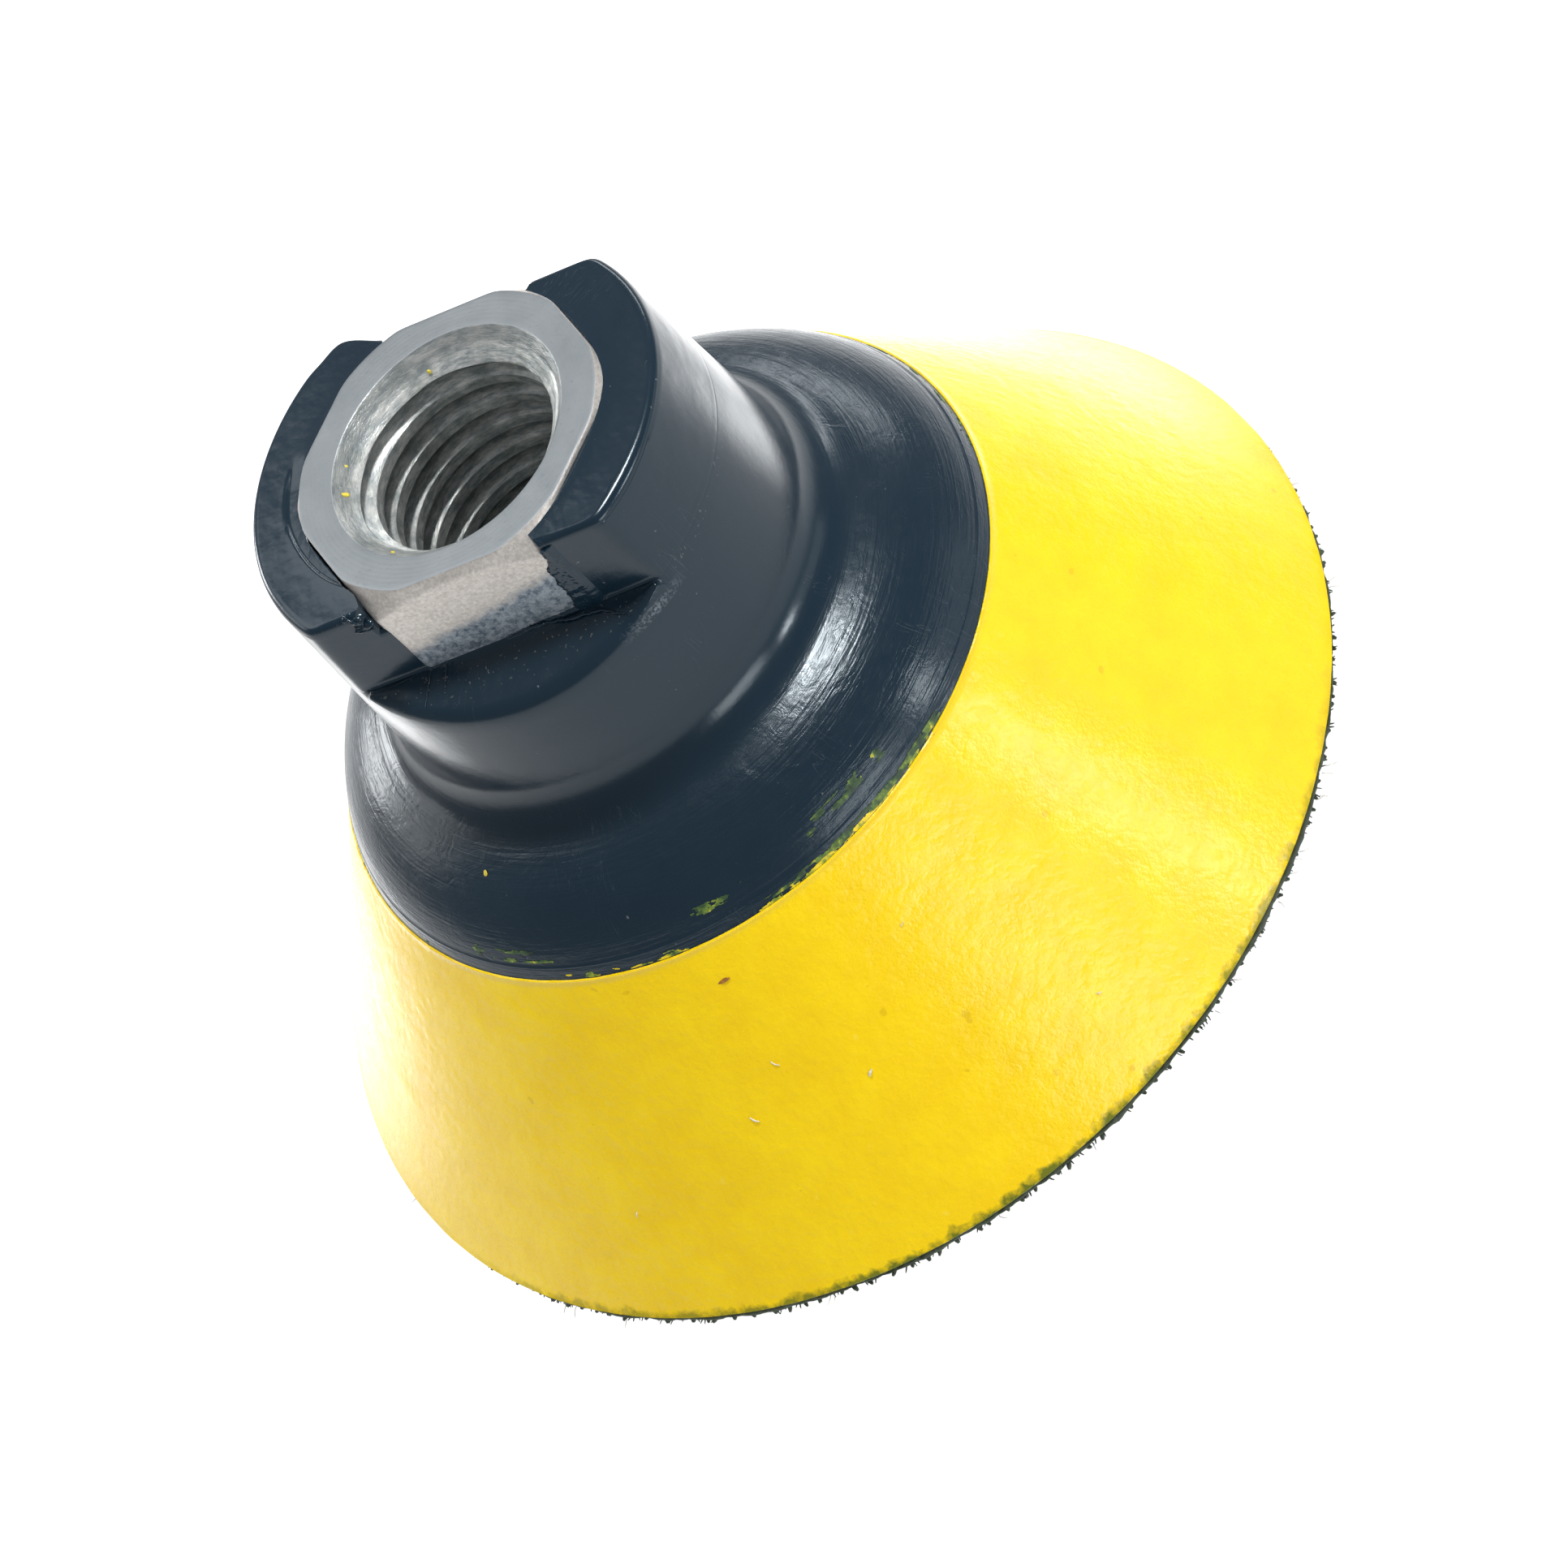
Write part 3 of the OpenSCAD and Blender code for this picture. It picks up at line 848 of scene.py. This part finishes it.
def build_patch(name, deg0, deg1, s0, s1, seed, cover, thick, material, cell=0.045, su=1.0):
    """Ragged thin flakes on the rim: cells of a fine grid where a noise field is above its limit, closed underneath."""
    arc = math.radians(deg1 - deg0) * 21.3
    nu, nv = max(8, int(arc / cell)), max(6, int((s1 - s0) / cell))
    a = np.radians(np.linspace(deg0, deg1, nu))[:, None] * np.ones((1, nv))
    sv = np.linspace(s0, s1, nv)[None, :] * np.ones((nu, 1))
    f = fbm(a * 21.3 * 1.6 * su, sv * 3.2, seed, 512, 64, 5)
    eu = np.minimum(np.linspace(0, 1, nu), np.linspace(1, 0, nu))[:, None]
    ev = np.minimum(np.linspace(0, 1, nv), np.linspace(1, 0, nv))[None, :]
    f = f - 0.5 * (1 - smooth(eu, 0, 0.12)) - 0.5 * (1 - smooth(ev, 0, 0.22))
    h = f - (0.5 - cover)
    on = h > 0
    r, z, nr, nz = profile_point(sv)
    lift = thick * np.sqrt(np.clip(h, 0, 1) / 0.25).clip(0, 1.3) + 0.012

    def place(o):
        rr, zz = r + nr * o, z + nz * o
        return np.stack([rr * np.cos(a), rr * np.sin(a), zz], -1)

    top, low = place(lift), place(-0.03)
    return cells_to_mesh(name, top, low, on, material)


def cells_to_mesh(name, top, low, on, material):
    """Closed thin solids over the grid cells whose four corners are on."""
    nu, nv = on.shape
    cell = on[:-1, :-1] & on[1:, :-1] & on[:-1, 1:] & on[1:, 1:]
    # no cells that touch only at a corner
    for i in range(nu - 2):
        for j in range(nv - 2):
            a, b, c, d = cell[i, j], cell[i + 1, j], cell[i, j + 1], cell[i + 1, j + 1]
            if a and d and not b and not c:
                cell[i + 1, j] = True
            if b and c and not a and not d:
                cell[i, j] = True
    if not cell.any():
        return None
    N = nu * nv
    verts = np.concatenate([top.reshape(-1, 3), low.reshape(-1, 3)])
    faces = []

    def idx(i, j):
        return i * nv + j

    ii, jj = np.nonzero(cell)
    for i, j in zip(ii.tolist(), jj.tolist()):
        a, b, c, d = idx(i, j), idx(i + 1, j), idx(i + 1, j + 1), idx(i, j + 1)
        faces.append((a, b, c, d))
        faces.append((d + N, c + N, b + N, a + N))
        for (p, q, oi, oj) in ((a, b, i, j - 1), (b, c, i + 1, j), (c, d, i, j + 1), (d, a, i - 1, j)):
            if oi < 0 or oj < 0 or oi >= nu - 1 or oj >= nv - 1 or not cell[oi, oj]:
                faces.append((q, p, p + N, q + N))
    used = sorted({k for f in faces for k in f})
    remap = {k: x for x, k in enumerate(used)}
    verts = verts[used]
    faces = [tuple(remap[k] for k in f) for f in faces]
    return mesh_from(name, verts, faces, material, sharp_deg=60, merge=1e-9)


# ---------------------------------------------------------------- foam
def build_foam():
    n = 720
    th = np.arange(n) * 2 * np.pi / n
    u = th / (2 * np.pi)
    rows = []
    slope = math.atan((33.3 - 21.45) / (Z_RIM - Z_FOAM))
    er = 0.5
    top_wav = 0.05 * fbm(u * 130, 0 * u, 71, 130, 8) + 0.03 * fbm(u * 28, 0 * u, 72, 28, 8)

    def add(r, z, noise=0.0):
        rows.append(polar(r + noise, z, th))

    # inner recess, under the hub
    for r, z in ((0, -2.05), (6, -2.05), (12.55, -2.05), (12.55, -0.05), (13.7, -0.05), (14.95, -0.05), (14.7, -1.2), (14.45, -2.45), (16, -2.45), (17.55, -2.45), (17.3, -1.2), (17.05, -0.05), (19, -0.05)):
        add(r, Z_RIM + z)
    add(21.2, Z_RIM - 0.02)
    add(21.5, Z_RIM + 0.03 + top_wav)
    add(21.56, Z_RIM - 0.02 + top_wav * 0.6)
    zs = np.linspace(Z_RIM - 0.15, Z_FOAM + er * 0.9, 56)
    for k, z in enumerate(zs):
        r = 21.45 + (33.3 - 21.45) * (Z_RIM - z) / (Z_RIM - Z_FOAM)
        w = 0.10 * fbm(u * 18, 0 * u + z * 0.35, 73, 18, 64, 3) + 0.025 * fbm(u * 150, 0 * u + z * 1.6, 74, 150, 64, 3)
        fade = min(1.0, k / 5) * min(1.0, (len(zs) - 1 - k) / 3)
        add(r, z, w * fade)
    cxr = 33.3 - er * (1 + math.sin(slope)) / math.cos(slope) * 0.55
    edge_n = 0.05 * fbm(u * 170, 0 * u, 75, 170, 8)
    for b in np.linspace(-math.degrees(slope) + 8, -88, 7):
        a = math.radians(b)
        add(33.2 - er + er * math.cos(a) + edge_n, Z_FOAM + er + er * math.sin(a))
    for r in (32.4, 30, 24, 16, 8, 0):
        add(r, Z_FOAM)
    v, f = ring_grid(rows)
    ob = mesh_from("foam_cushion_skin", v, f, MAT_FOAM, sharp_deg=50, merge=1e-6)
    return ob


# ---------------------------------------------------------------- hook face
def build_disc(name, r0, z0, z1, material, seed, rag, n=900):
    th = np.arange(n) * 2 * np.pi / n
    u = th / (2 * np.pi)
    edge = r0 + rag * fbm(u * 220, 0 * u, seed, 220, 8, 3) * 2
    e = (z1 - z0) * 0.25
    rows = []
    for r in (0, 8, 16, 24, 30):
        rows.append(polar(r, z1, th))
    rows.append(polar(edge - e, z1, th))
    rows.append(polar(edge - 0.3 * e, z1 - 0.3 * e, th))
    rows.append(polar(edge, z1 - e, th))
    rows.append(polar(edge, z0 + e, th))
    rows.append(polar(edge - 0.3 * e, z0 + 0.3 * e, th))
    rows.append(polar(edge - e, z0, th))
    for r in (30, 24, 16, 8, 0):
        rows.append(polar(r, z0, th))
    v, f = ring_grid(rows)
    return mesh_from(name, v, f, material, sharp_deg=50, merge=1e-6)


def tube(points, radii, sides=5):
    """Closed tube along points: rings and two end caps. Returns vertices and faces."""
    p = np.asarray(points, float)
    m = len(p)
    t = np.gradient(p, axis=0)
    t /= np.linalg.norm(t, axis=1)[:, None]
    ref = np.array([0.31, 0.22, 0.92])
    if abs(t[0] @ ref) > 0.9:
        ref = np.array([0.9, 0.3, 0.1])
    nrm = np.cross(t, ref)
    nrm /= np.linalg.norm(nrm, axis=1)[:, None]
    bn = np.cross(t, nrm)
    a = np.arange(sides) * 2 * np.pi / sides
    ring = np.cos(a)[None, :, None] * nrm[:, None, :] + np.sin(a)[None, :, None] * bn[:, None, :]
    v = p[:, None, :] + ring * np.asarray(radii)[:, None, None]
    v = v.reshape(-1, 3)
    f = []
    for j in range(m - 1):
        for i in range(sides):
            k = (i + 1) % sides
            f.append((j * sides + i, j * sides + k, (j + 1) * sides + k, (j + 1) * sides + i))
    f.append(tuple(range(sides - 1, -1, -1)))
    f.append(tuple((m - 1) * sides + i for i in range(sides)))
    return v, f


def build_hooks():
    rng = np.random.RandomState(5)
    pv, pf, off = [], [], 0
    z0 = Z_HOOKS + 0.06
    rows_at = np.arange(-31.5, 31.6, 1.35)
    for k, y in enumerate(rows_at):
        half = math.sqrt(max(0, (R_DISC - 0.25) ** 2 - y * y))
        xs = np.arange(-half, half, 1.15)
        for x in xs:
            x0 = x + rng.uniform(-0.09, 0.09)
            y0 = y + rng.uniform(-0.12, 0.12)
            if math.hypot(x0, y0) > R_DISC - 0.25:
                continue
            side = 1 if (k % 2) else -1
            lean = rng.uniform(-0.28, 0.28)
            d = np.array([side * math.cos(lean), math.sin(lean), 0.0])
            hgt = Z_HOOKS - 0.09 + rng.uniform(-0.07, 0.0)
            rad = 0.26
            a = np.linspace(0, math.radians(215), 7)
            up = [(0, 0), (0.0, (hgt - rad) * 0.55)]
            arc = [(rad - rad * math.cos(q), (hgt - rad) + rad * math.sin(q)) for q in a]
            pts = [np.array([x0, y0, z0]) + d * p + np.array([0, 0, -h - 0.0]) for p, h in up + arc]
            v, f = tube(pts, [0.11] * 2 + [0.095] * len(arc), 5)
            v[:, 2] = np.maximum(v[:, 2], 0.0)
            pv.append(v)
            pf += [tuple(i + off for i in q) for q in f]
            off += len(v)
    return mesh_from("hook_pile_detail", np.concatenate(pv), pf, MAT_HOOK, sharp_deg=70, merge=1e-10)


def build_fringe():
    """Ragged cut edge of the tape: a lumpy selvage with cut hook stubs and short yarn ends."""
    rng = np.random.RandomState(9)
    n = 2400
    th = np.arange(n) * 2 * np.pi / n
    u = th / (2 * np.pi)
    lumps = fbm(u * 190, 0 * u, 301, 190, 8, 4)
    slow = fbm(u * 26, 0 * u, 305, 26, 8, 3)
    out = R_FOAM - 0.19 + 0.12 * np.clip(lumps * 2.4 + 0.10, -0.7, 1) + 0.07 * slow
    low = Z_HOOKS + 0.14 + 0.34 * fbm(u * 230, 0 * u, 311, 230, 8, 4) - 0.16 * np.clip(slow * 2, -1, 1)
    top = Z_FOAM - 0.015
    rows = [
        polar(R_DISC - 0.6, top - 0.01, th),
        polar(out - 0.16, top, th),
        polar(out - 0.03, top - 0.07, th),
        polar(out, 0.5 * (top + low), th),
        polar(out - 0.05, low + 0.09, th),
        polar(out - 0.20, low, th),
        polar(R_DISC - 0.6, low + 0.03, th),
        polar(R_DISC - 0.6, top - 0.01, th),
    ]
    v0, f0 = ring_grid(rows)
    pv, pf, off = [v0], list(f0), len(v0)
    count = 185
    for k in range(count + 330):
        stub = k < count
        a = (k + rng.uniform(-0.35, 0.35)) * 2 * np.pi / count if stub else rng.uniform(0, 2 * np.pi)
        edge = out[int(a / (2 * np.pi) * n) % n]
        length = rng.uniform(-0.04, 0.07) if stub else rng.uniform(0.0, 0.08)
        thick = rng.uniform(0.11, 0.17) if stub else rng.uniform(0.03, 0.055)
        z = rng.uniform(Z_HOOKS + 0.05, Z_FOAM - 0.24)
        d = np.array([math.cos(a), math.sin(a), 0])
        tdir = np.array([-math.sin(a), math.cos(a), 0])
        droop = rng.uniform(-0.22, 0.0)
        swing = rng.uniform(-0.25, 0.25)
        base = d * (edge - 0.5) + np.array([0, 0, z])
        pts = [base + d * (length + 0.5) * t + tdir * swing * t * t + np.array([0, 0, droop * t * t]) for t in np.linspace(0, 1, 5)]
        for p in pts:
            p[2] = min(max(p[2], thick + 0.002), Z_FOAM - thick - 0.01)
        v, f = tube(pts, [thick, thick, thick, thick * 0.95, thick * 0.55], 6)
        pv.append(v)
        pf += [tuple(i + off for i in q) for q in f]
        off += len(v)
    return mesh_from("tape_edge_yarn", np.concatenate(pv), pf, MAT_TAPE, sharp_deg=70, merge=1e-10)


def build_fibres():
    """A few pale broken filaments that stick out of the tape's edge."""
    rng = np.random.RandomState(17)
    pv, pf, off = [], [], 0
    for k in range(46):
        a = rng.uniform(0, 2 * np.pi)
        d = np.array([math.cos(a), math.sin(a), 0])
        tdir = np.array([-math.sin(a), math.cos(a), 0])
        length, thick = rng.uniform(0.12, 0.42), 0.022
        swing, droop = rng.uniform(-0.4, 0.4), rng.uniform(-0.3, 0.1)
        base = d * (R_FOAM - 0.3) + np.array([0, 0, rng.uniform(0.6, Z_FOAM - 0.2)])
        pts = [base + d * (length + 0.3) * t + tdir * swing * t * t + np.array([0, 0, droop * t * t]) for t in np.linspace(0, 1, 7)]
        for p in pts:
            p[2] = min(max(p[2], 0.05), Z_FOAM - 0.05)
        v, f = tube(pts, [thick] * 6 + [thick * 0.5], 5)
        pv.append(v)
        pf += [tuple(i + off for i in q) for q in f]
        off += len(v)
    return mesh_from("tape_edge_fibres", np.concatenate(pv), pf, MAT_LINT, sharp_deg=70, merge=1e-10)


insert = build_insert()
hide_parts("threaded_insert")
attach(insert, "hub")

hub = build_hub()
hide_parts("hub_moulding")
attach(hub, "hub")

flash = build_flash()
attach(flash, "hub")

FINE = []
# folded flash on the ledge, and the torn skin at the collar's near corner
FINE.append(strand("hub_flash_fold", [(1.4, -9.62, Z_LEDGE + 0.28), (3.0, -9.72, Z_LEDGE + 0.10), (3.7, -9.86, Z_LEDGE + 0.02), (4.9, -9.95, Z_LEDGE - 0.06), (5.8, -10.05, Z_LEDGE - 0.10), (6.8, -10.5, Z_LEDGE - 0.26), (7.5, -10.9, Z_LEDGE - 0.42)], [0.03, 0.07, 0.09, 0.07, 0.08, 0.07, 0.02], MAT_HUB, wobble=0.02))
for k, (c, size, st) in enumerate([((-6.25, -9.30, Z_COLLAR - 0.35), 0.30, 1.7), ((-6.9, -9.15, Z_COLLAR - 0.18), 0.24, 1.9), ((-5.95, -9.42, Z_COLLAR - 1.0), 0.26, 1.3), ((-7.5, -9.2, Z_COLLAR - 0.40), 0.2, 2.2), ((-6.5, -9.45, Z_COLLAR - 0.9), 0.2, 1.8)]):
    FINE.append(lump("hub_torn_skin_%d" % k, c, size, MAT_HUB, 40 + k, 0.55, (0.1, -0.75, 0.65), (1, 0.2 * (k - 2), 0.4), st))
for k, pts in enumerate([[(-6.0, -9.55, Z_COLLAR - 0.7), (-6.3, -9.72, Z_COLLAR - 0.3), (-6.7, -9.45, Z_COLLAR + 0.0), (-7.0, -9.0, Z_COLLAR + 0.05)], [(-5.7, -9.6, Z_COLLAR - 1.3), (-6.2, -9.66, Z_COLLAR - 1.2), (-6.9, -9.58, Z_COLLAR - 1.0)]]):
    FINE.append(strand("hub_torn_edge_%d" % k, pts, [0.03, 0.07, 0.06, 0.03][: len(pts)], MAT_HUB, seed=8 + k, wobble=0.02))
for k, (x0, y0, x1, y1, r0) in enumerate([(-5.2, -9.6, -6.0, -11.6, 0.035), (-6.0, -9.6, -8.6, -9.75, 0.04), (-4.2, -9.7, -4.6, -11.0, 0.03)]):
    za, zb = Z_LEDGE + 0.0, Z_LEDGE - 0.29 * (abs(y1) - PLANE)
    FINE.append(strand("hub_ledge_scratch_%d" % k, [(x0, y0, za), ((x0 + x1) / 2, (y0 + y1) / 2, (za + zb) / 2 + 0.0), (x1, y1, zb)], [0.01, r0, 0.01], MAT_HUB, seed=20 + k, wobble=0.006))
for ob in FINE:
    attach(ob, "hub")

# foam flash that crept over the rim when the cushion was cast
RES = [
    build_patch("rim_flash_a", -127, -107, 0.95, 2.1, 101, 0.43, 0.03, MAT_RESIDUE, cell=0.032, su=0.5),
    build_patch("rim_flash_b", -86, -72, 1.35, 2.3, 113, 0.47, 0.03, MAT_RESIDUE, cell=0.032, su=0.5),
    build_patch("rim_flash_c", -64, -42, 1.45, 2.6, 127, 0.49, 0.03, MAT_RESIDUE, cell=0.032, su=0.5),
    build_patch("rim_flash_d", -76, -29, -0.02, 0.66, 131, 0.56, 0.045, MAT_RESIDUE, cell=0.032, su=0.5),
    build_patch("rim_flash_e", -112, -84, -0.02, 0.50, 139, 0.50, 0.04, MAT_LIP, cell=0.032, su=0.6),
    build_patch("rim_flash_f", 12, 56, -0.02, 0.50, 149, 0.42, 0.04, MAT_RESIDUE, cell=0.032, su=0.6),
    build_patch("rim_flash_g", 100, 240, -0.02, 0.35, 157, 0.30, 0.04, MAT_RESIDUE),
    build_patch("rim_flash_h", -78, -27, -0.05, 0.34, 163, 0.52, 0.05, MAT_LIP, cell=0.032, su=0.6),
]
for ob in RES:
    if ob is not None:
        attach(ob, "hub")

CRUMBS = []
for k, (r, deg, z, size) in enumerate([(6.55, 80, 41.55, 0.17), (6.42, 105, 41.9, 0.10), (7.02, -176, 42.28, 0.17), (6.3, 60, 40.6, 0.09), (7.1, -122, 42.35, 0.11), (7.08, 168, 42.3, 0.10)]):
    a = math.radians(deg)
    CRUMBS.append(lump("thread_crumb_%d" % k, (r * math.cos(a), r * math.sin(a), z), size, MAT_CRUMB, 60 + k, 0.6, (-math.cos(a), -math.sin(a), 0.7), (0.3, 0.2, 1), 1.3))
a = math.radians(-121.5)
CRUMBS.append(lump("dome_crumb", (17.49 * math.cos(a), 17.49 * math.sin(a), 24.66), 0.13, MAT_CRUMB, 71, 0.5, (math.cos(a), math.sin(a), 1.2), (0, 0, 1), 1.5))
for ob in CRUMBS:
    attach(ob, "hub")

foam = build_foam()
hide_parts("foam_cushion")


def squash_with_foam(ob):
    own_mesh(ob)


squash_with_foam(foam)
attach(foam, "hub")

# lint and a brown fleck on the foam
for k, (r, deg, turn, ln, rad) in enumerate([(27.41, -74.8, 40, 0.42, 0.07), (25.74, -84.2, 130, 0.55, 0.04), (27.13, -90.2, 135, 0.6, 0.05), (24.4, -60, 20, 0.3, 0.03), (29.5, -110, 80, 0.35, 0.03), (30.2, -50, 150, 0.3, 0.035)]):
    p0, nn = on_foam(r, deg, 0.02)
    side = np.cross(nn, (0, 0, 1.0))
    side /= np.linalg.norm(side)
    up = np.cross(nn, side)
    d = side * math.cos(math.radians(turn)) + up * math.sin(math.radians(turn))
    ob = strand("foam_lint_%d" % k, [p0 - d * ln / 2, p0 + nn * 0.05 + side * 0.05, p0 + d * ln / 2], [rad * 0.6, rad, rad * 0.6], MAT_LINT, seed=k + 80, wobble=0.004)
    squash_with_foam(ob)
    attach(ob, "hub")
p0, nn = on_foam(22.74, -84.3, 0.03)
fleck = lump("foam_fleck", p0, 0.12, MAT_FLECK, 90, 0.35, nn, (1, 0.1, 0.1), 3.2)
squash_with_foam(fleck)
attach(fleck, "hub")

glue = build_disc("adhesive_film_detail", R_DISC - 0.2, Z_BACK, Z_FOAM, MAT_GLUE, 81, 0.05)
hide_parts("adhesive_film")
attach(glue, "face")

tape = build_disc("hook_backing_detail", R_DISC - 0.08, Z_HOOKS, Z_BACK, MAT_TAPE, 82, 0.12)
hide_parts("hook_backing")
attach(tape, "face")

hooks = build_hooks()
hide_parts("hook_pile")
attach(hooks, "face")

for ob in (build_fringe(), build_fibres()):
    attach(ob, "face")


# ---------------------------------------------------------------- stage, light and camera
FLOOR, FLOOR_GLOW = 1.02, 1.9


def build_stage():
    me = bpy.data.meshes.new("studio_floor")
    s = 6.0
    me.from_pydata([(-s, -s, -0.0002), (s, -s, -0.0002), (s, s, -0.0002), (-s, s, -0.0002)], [], [(0, 1, 2, 3)])
    ob = bpy.data.objects.new("studio_floor", me)
    bpy.context.scene.collection.objects.link(ob)
    n = Nodes("floor_glow_light")
    v = n.noise(3, 2, 0.5)
    col = n.mix(v, (0.11, 0.11, 0.11), (0.13, 0.13, 0.13))
    n.finish(col, 0.9)
    # The floor glows: an emission that fades away from the pad, plus a brighter ring behind the pad and two glowing
    # spots near it. These glow as lamps: they light the pad and show as reflections in the black hub.
    n.bsdf.inputs["Emission Color"].default_value = (1, 1, 1, 1)
    r, x, y, z = n.radius()
    back = n.node("ShaderNodeMapRange")
    n.put(back.inputs["Value"], y)
    back.inputs["From Min"].default_value = 0.026
    back.inputs["From Max"].default_value = 0.038
    glow = n.ramp(n.math("MULTIPLY", r, 5.0), [(0.225, 1.0), (0.285, 0.35), (0.50, 0.10), (0.9, 0.0)])
    glow = n.math("MULTIPLY", glow, back.outputs[0])
    for cx, cy, reach, gain in ((-0.046, 0.002, 0.022, 1.4), (0.031, 0.034, 0.014, 1.3)):
        dx, dy = n.math("SUBTRACT", x, cx), n.math("SUBTRACT", y, cy)
        dist = n.math("SQRT", n.math("ADD", n.math("MULTIPLY", dx, dx), n.math("MULTIPLY", dy, dy)))
        spot = n.math("SUBTRACT", 1.0, n.math("DIVIDE", dist, reach), clamp=True)
        glow = n.math("ADD", glow, n.math("MULTIPLY", spot, gain))
    base = n.ramp(r, [(0.14, 1.0), (0.34, 0.42)])
    n.link(n.math("ADD", n.math("MULTIPLY", glow, FLOOR_GLOW), n.math("MULTIPLY", base, FLOOR)), n.bsdf.inputs["Emission Strength"])
    n.bsdf.inputs["Specular IOR Level"].default_value = 0.0
    ob.data.materials.append(n.m)


def build_world():
    w = bpy.data.worlds.new("studio")
    bpy.context.scene.world = w
    w.use_nodes = True
    t = w.node_tree
    bg = t.nodes["Background"]
    co = t.nodes.new("ShaderNodeTexCoord")
    dot = t.nodes.new("ShaderNodeVectorMath")
    dot.operation = "DOT_PRODUCT"
    t.links.new(co.outputs["Generated"], dot.inputs[0])
    front = Vector((math.cos(math.radians(-75)), math.sin(math.radians(-75)), 0.15)).normalized()
    dot.inputs[1].default_value = front
    ramp = t.nodes.new("ShaderNodeValToRGB")
    mr = t.nodes.new("ShaderNodeMapRange")
    mr.inputs["From Min"].default_value = -1
    mr.inputs["From Max"].default_value = 1
    t.links.new(dot.outputs["Value"], mr.inputs["Value"])
    t.links.new(mr.outputs[0], ramp.inputs[0])
    el = ramp.color_ramp.elements
    el[0].position, el[0].color = 0.25, (0.85, 0.87, 0.9, 1)
    el[1].position, el[1].color = 0.62, (0.66, 0.67, 0.70, 1)
    t.links.new(ramp.outputs[0], bg.inputs["Color"])
    bg.inputs["Strength"].default_value = 0.38


def panel(name, az, el, width_deg, height_deg, radiance, dist=0.5, target=(0, 0, 0.025), color=(1, 1, 1)):
    """A soft panel facing the target, sized by the angle it fills and set by its radiance."""
    d = bpy.data.lights.new(name, "AREA")
    d.shape = "RECTANGLE" if abs(width_deg - height_deg) > 0.1 else "DISK"
    d.size = 2 * dist * math.tan(math.radians(width_deg / 2))
    d.size_y = 2 * dist * math.tan(math.radians(height_deg / 2))
    face = d.size * d.size_y * (1.0 if d.shape == "RECTANGLE" else math.pi / 4)
    d.energy = radiance * math.pi * face
    d.color = color
    ob = bpy.data.objects.new(name, d)
    bpy.context.scene.collection.objects.link(ob)
    a, e = math.radians(az), math.radians(el)
    v = Vector((math.cos(e) * math.cos(a), math.cos(e) * math.sin(a), math.sin(e)))
    ob.location = Vector(target) + v * dist
    ob.rotation_euler = (-v).to_track_quat("-Z", "Y").to_euler()
    return ob


build_stage()
build_world()
panel("key_top", 46, 74, 10.5, 10.5, 93)
panel("rear_left", 151, 12, 11, 16, 12.0)
panel("rear_left_wide", 163, 22, 24, 22, 1.6)
panel("rear_veil", 146, 47, 26, 22, 1.9)
panel("right_spot", -14, 14, 8, 8, 24)
panel("right_soft", 6, 10, 50, 16, 0.85)
panel("right_front", -46, 9, 28, 16, 5.4)
panel("rear_strip", 84, 21, 34, 6, 9.0)

cam_data = bpy.data.cameras.new("studio_camera")
cam = bpy.data.objects.new("studio_camera", cam_data)
bpy.context.scene.collection.objects.link(cam)
cam_data.sensor_width = 36
cam_data.lens = 206.9825
cam_data.clip_start, cam_data.clip_end = 0.02, 20
cam.matrix_world = Matrix(
    (
        (0.85586881, 0.32446432, 0.40275487, 0.20966752),
        (-0.02480158, 0.80358465, -0.59467351, -0.31084488),
        (-0.51659797, 0.49897355, 0.69581027, 0.36904276),
        (0, 0, 0, 1),
    )
)
bpy.context.scene.camera = cam
bpy.context.scene.view_settings.view_transform = "Standard"
bpy.context.scene.view_settings.look = "None"
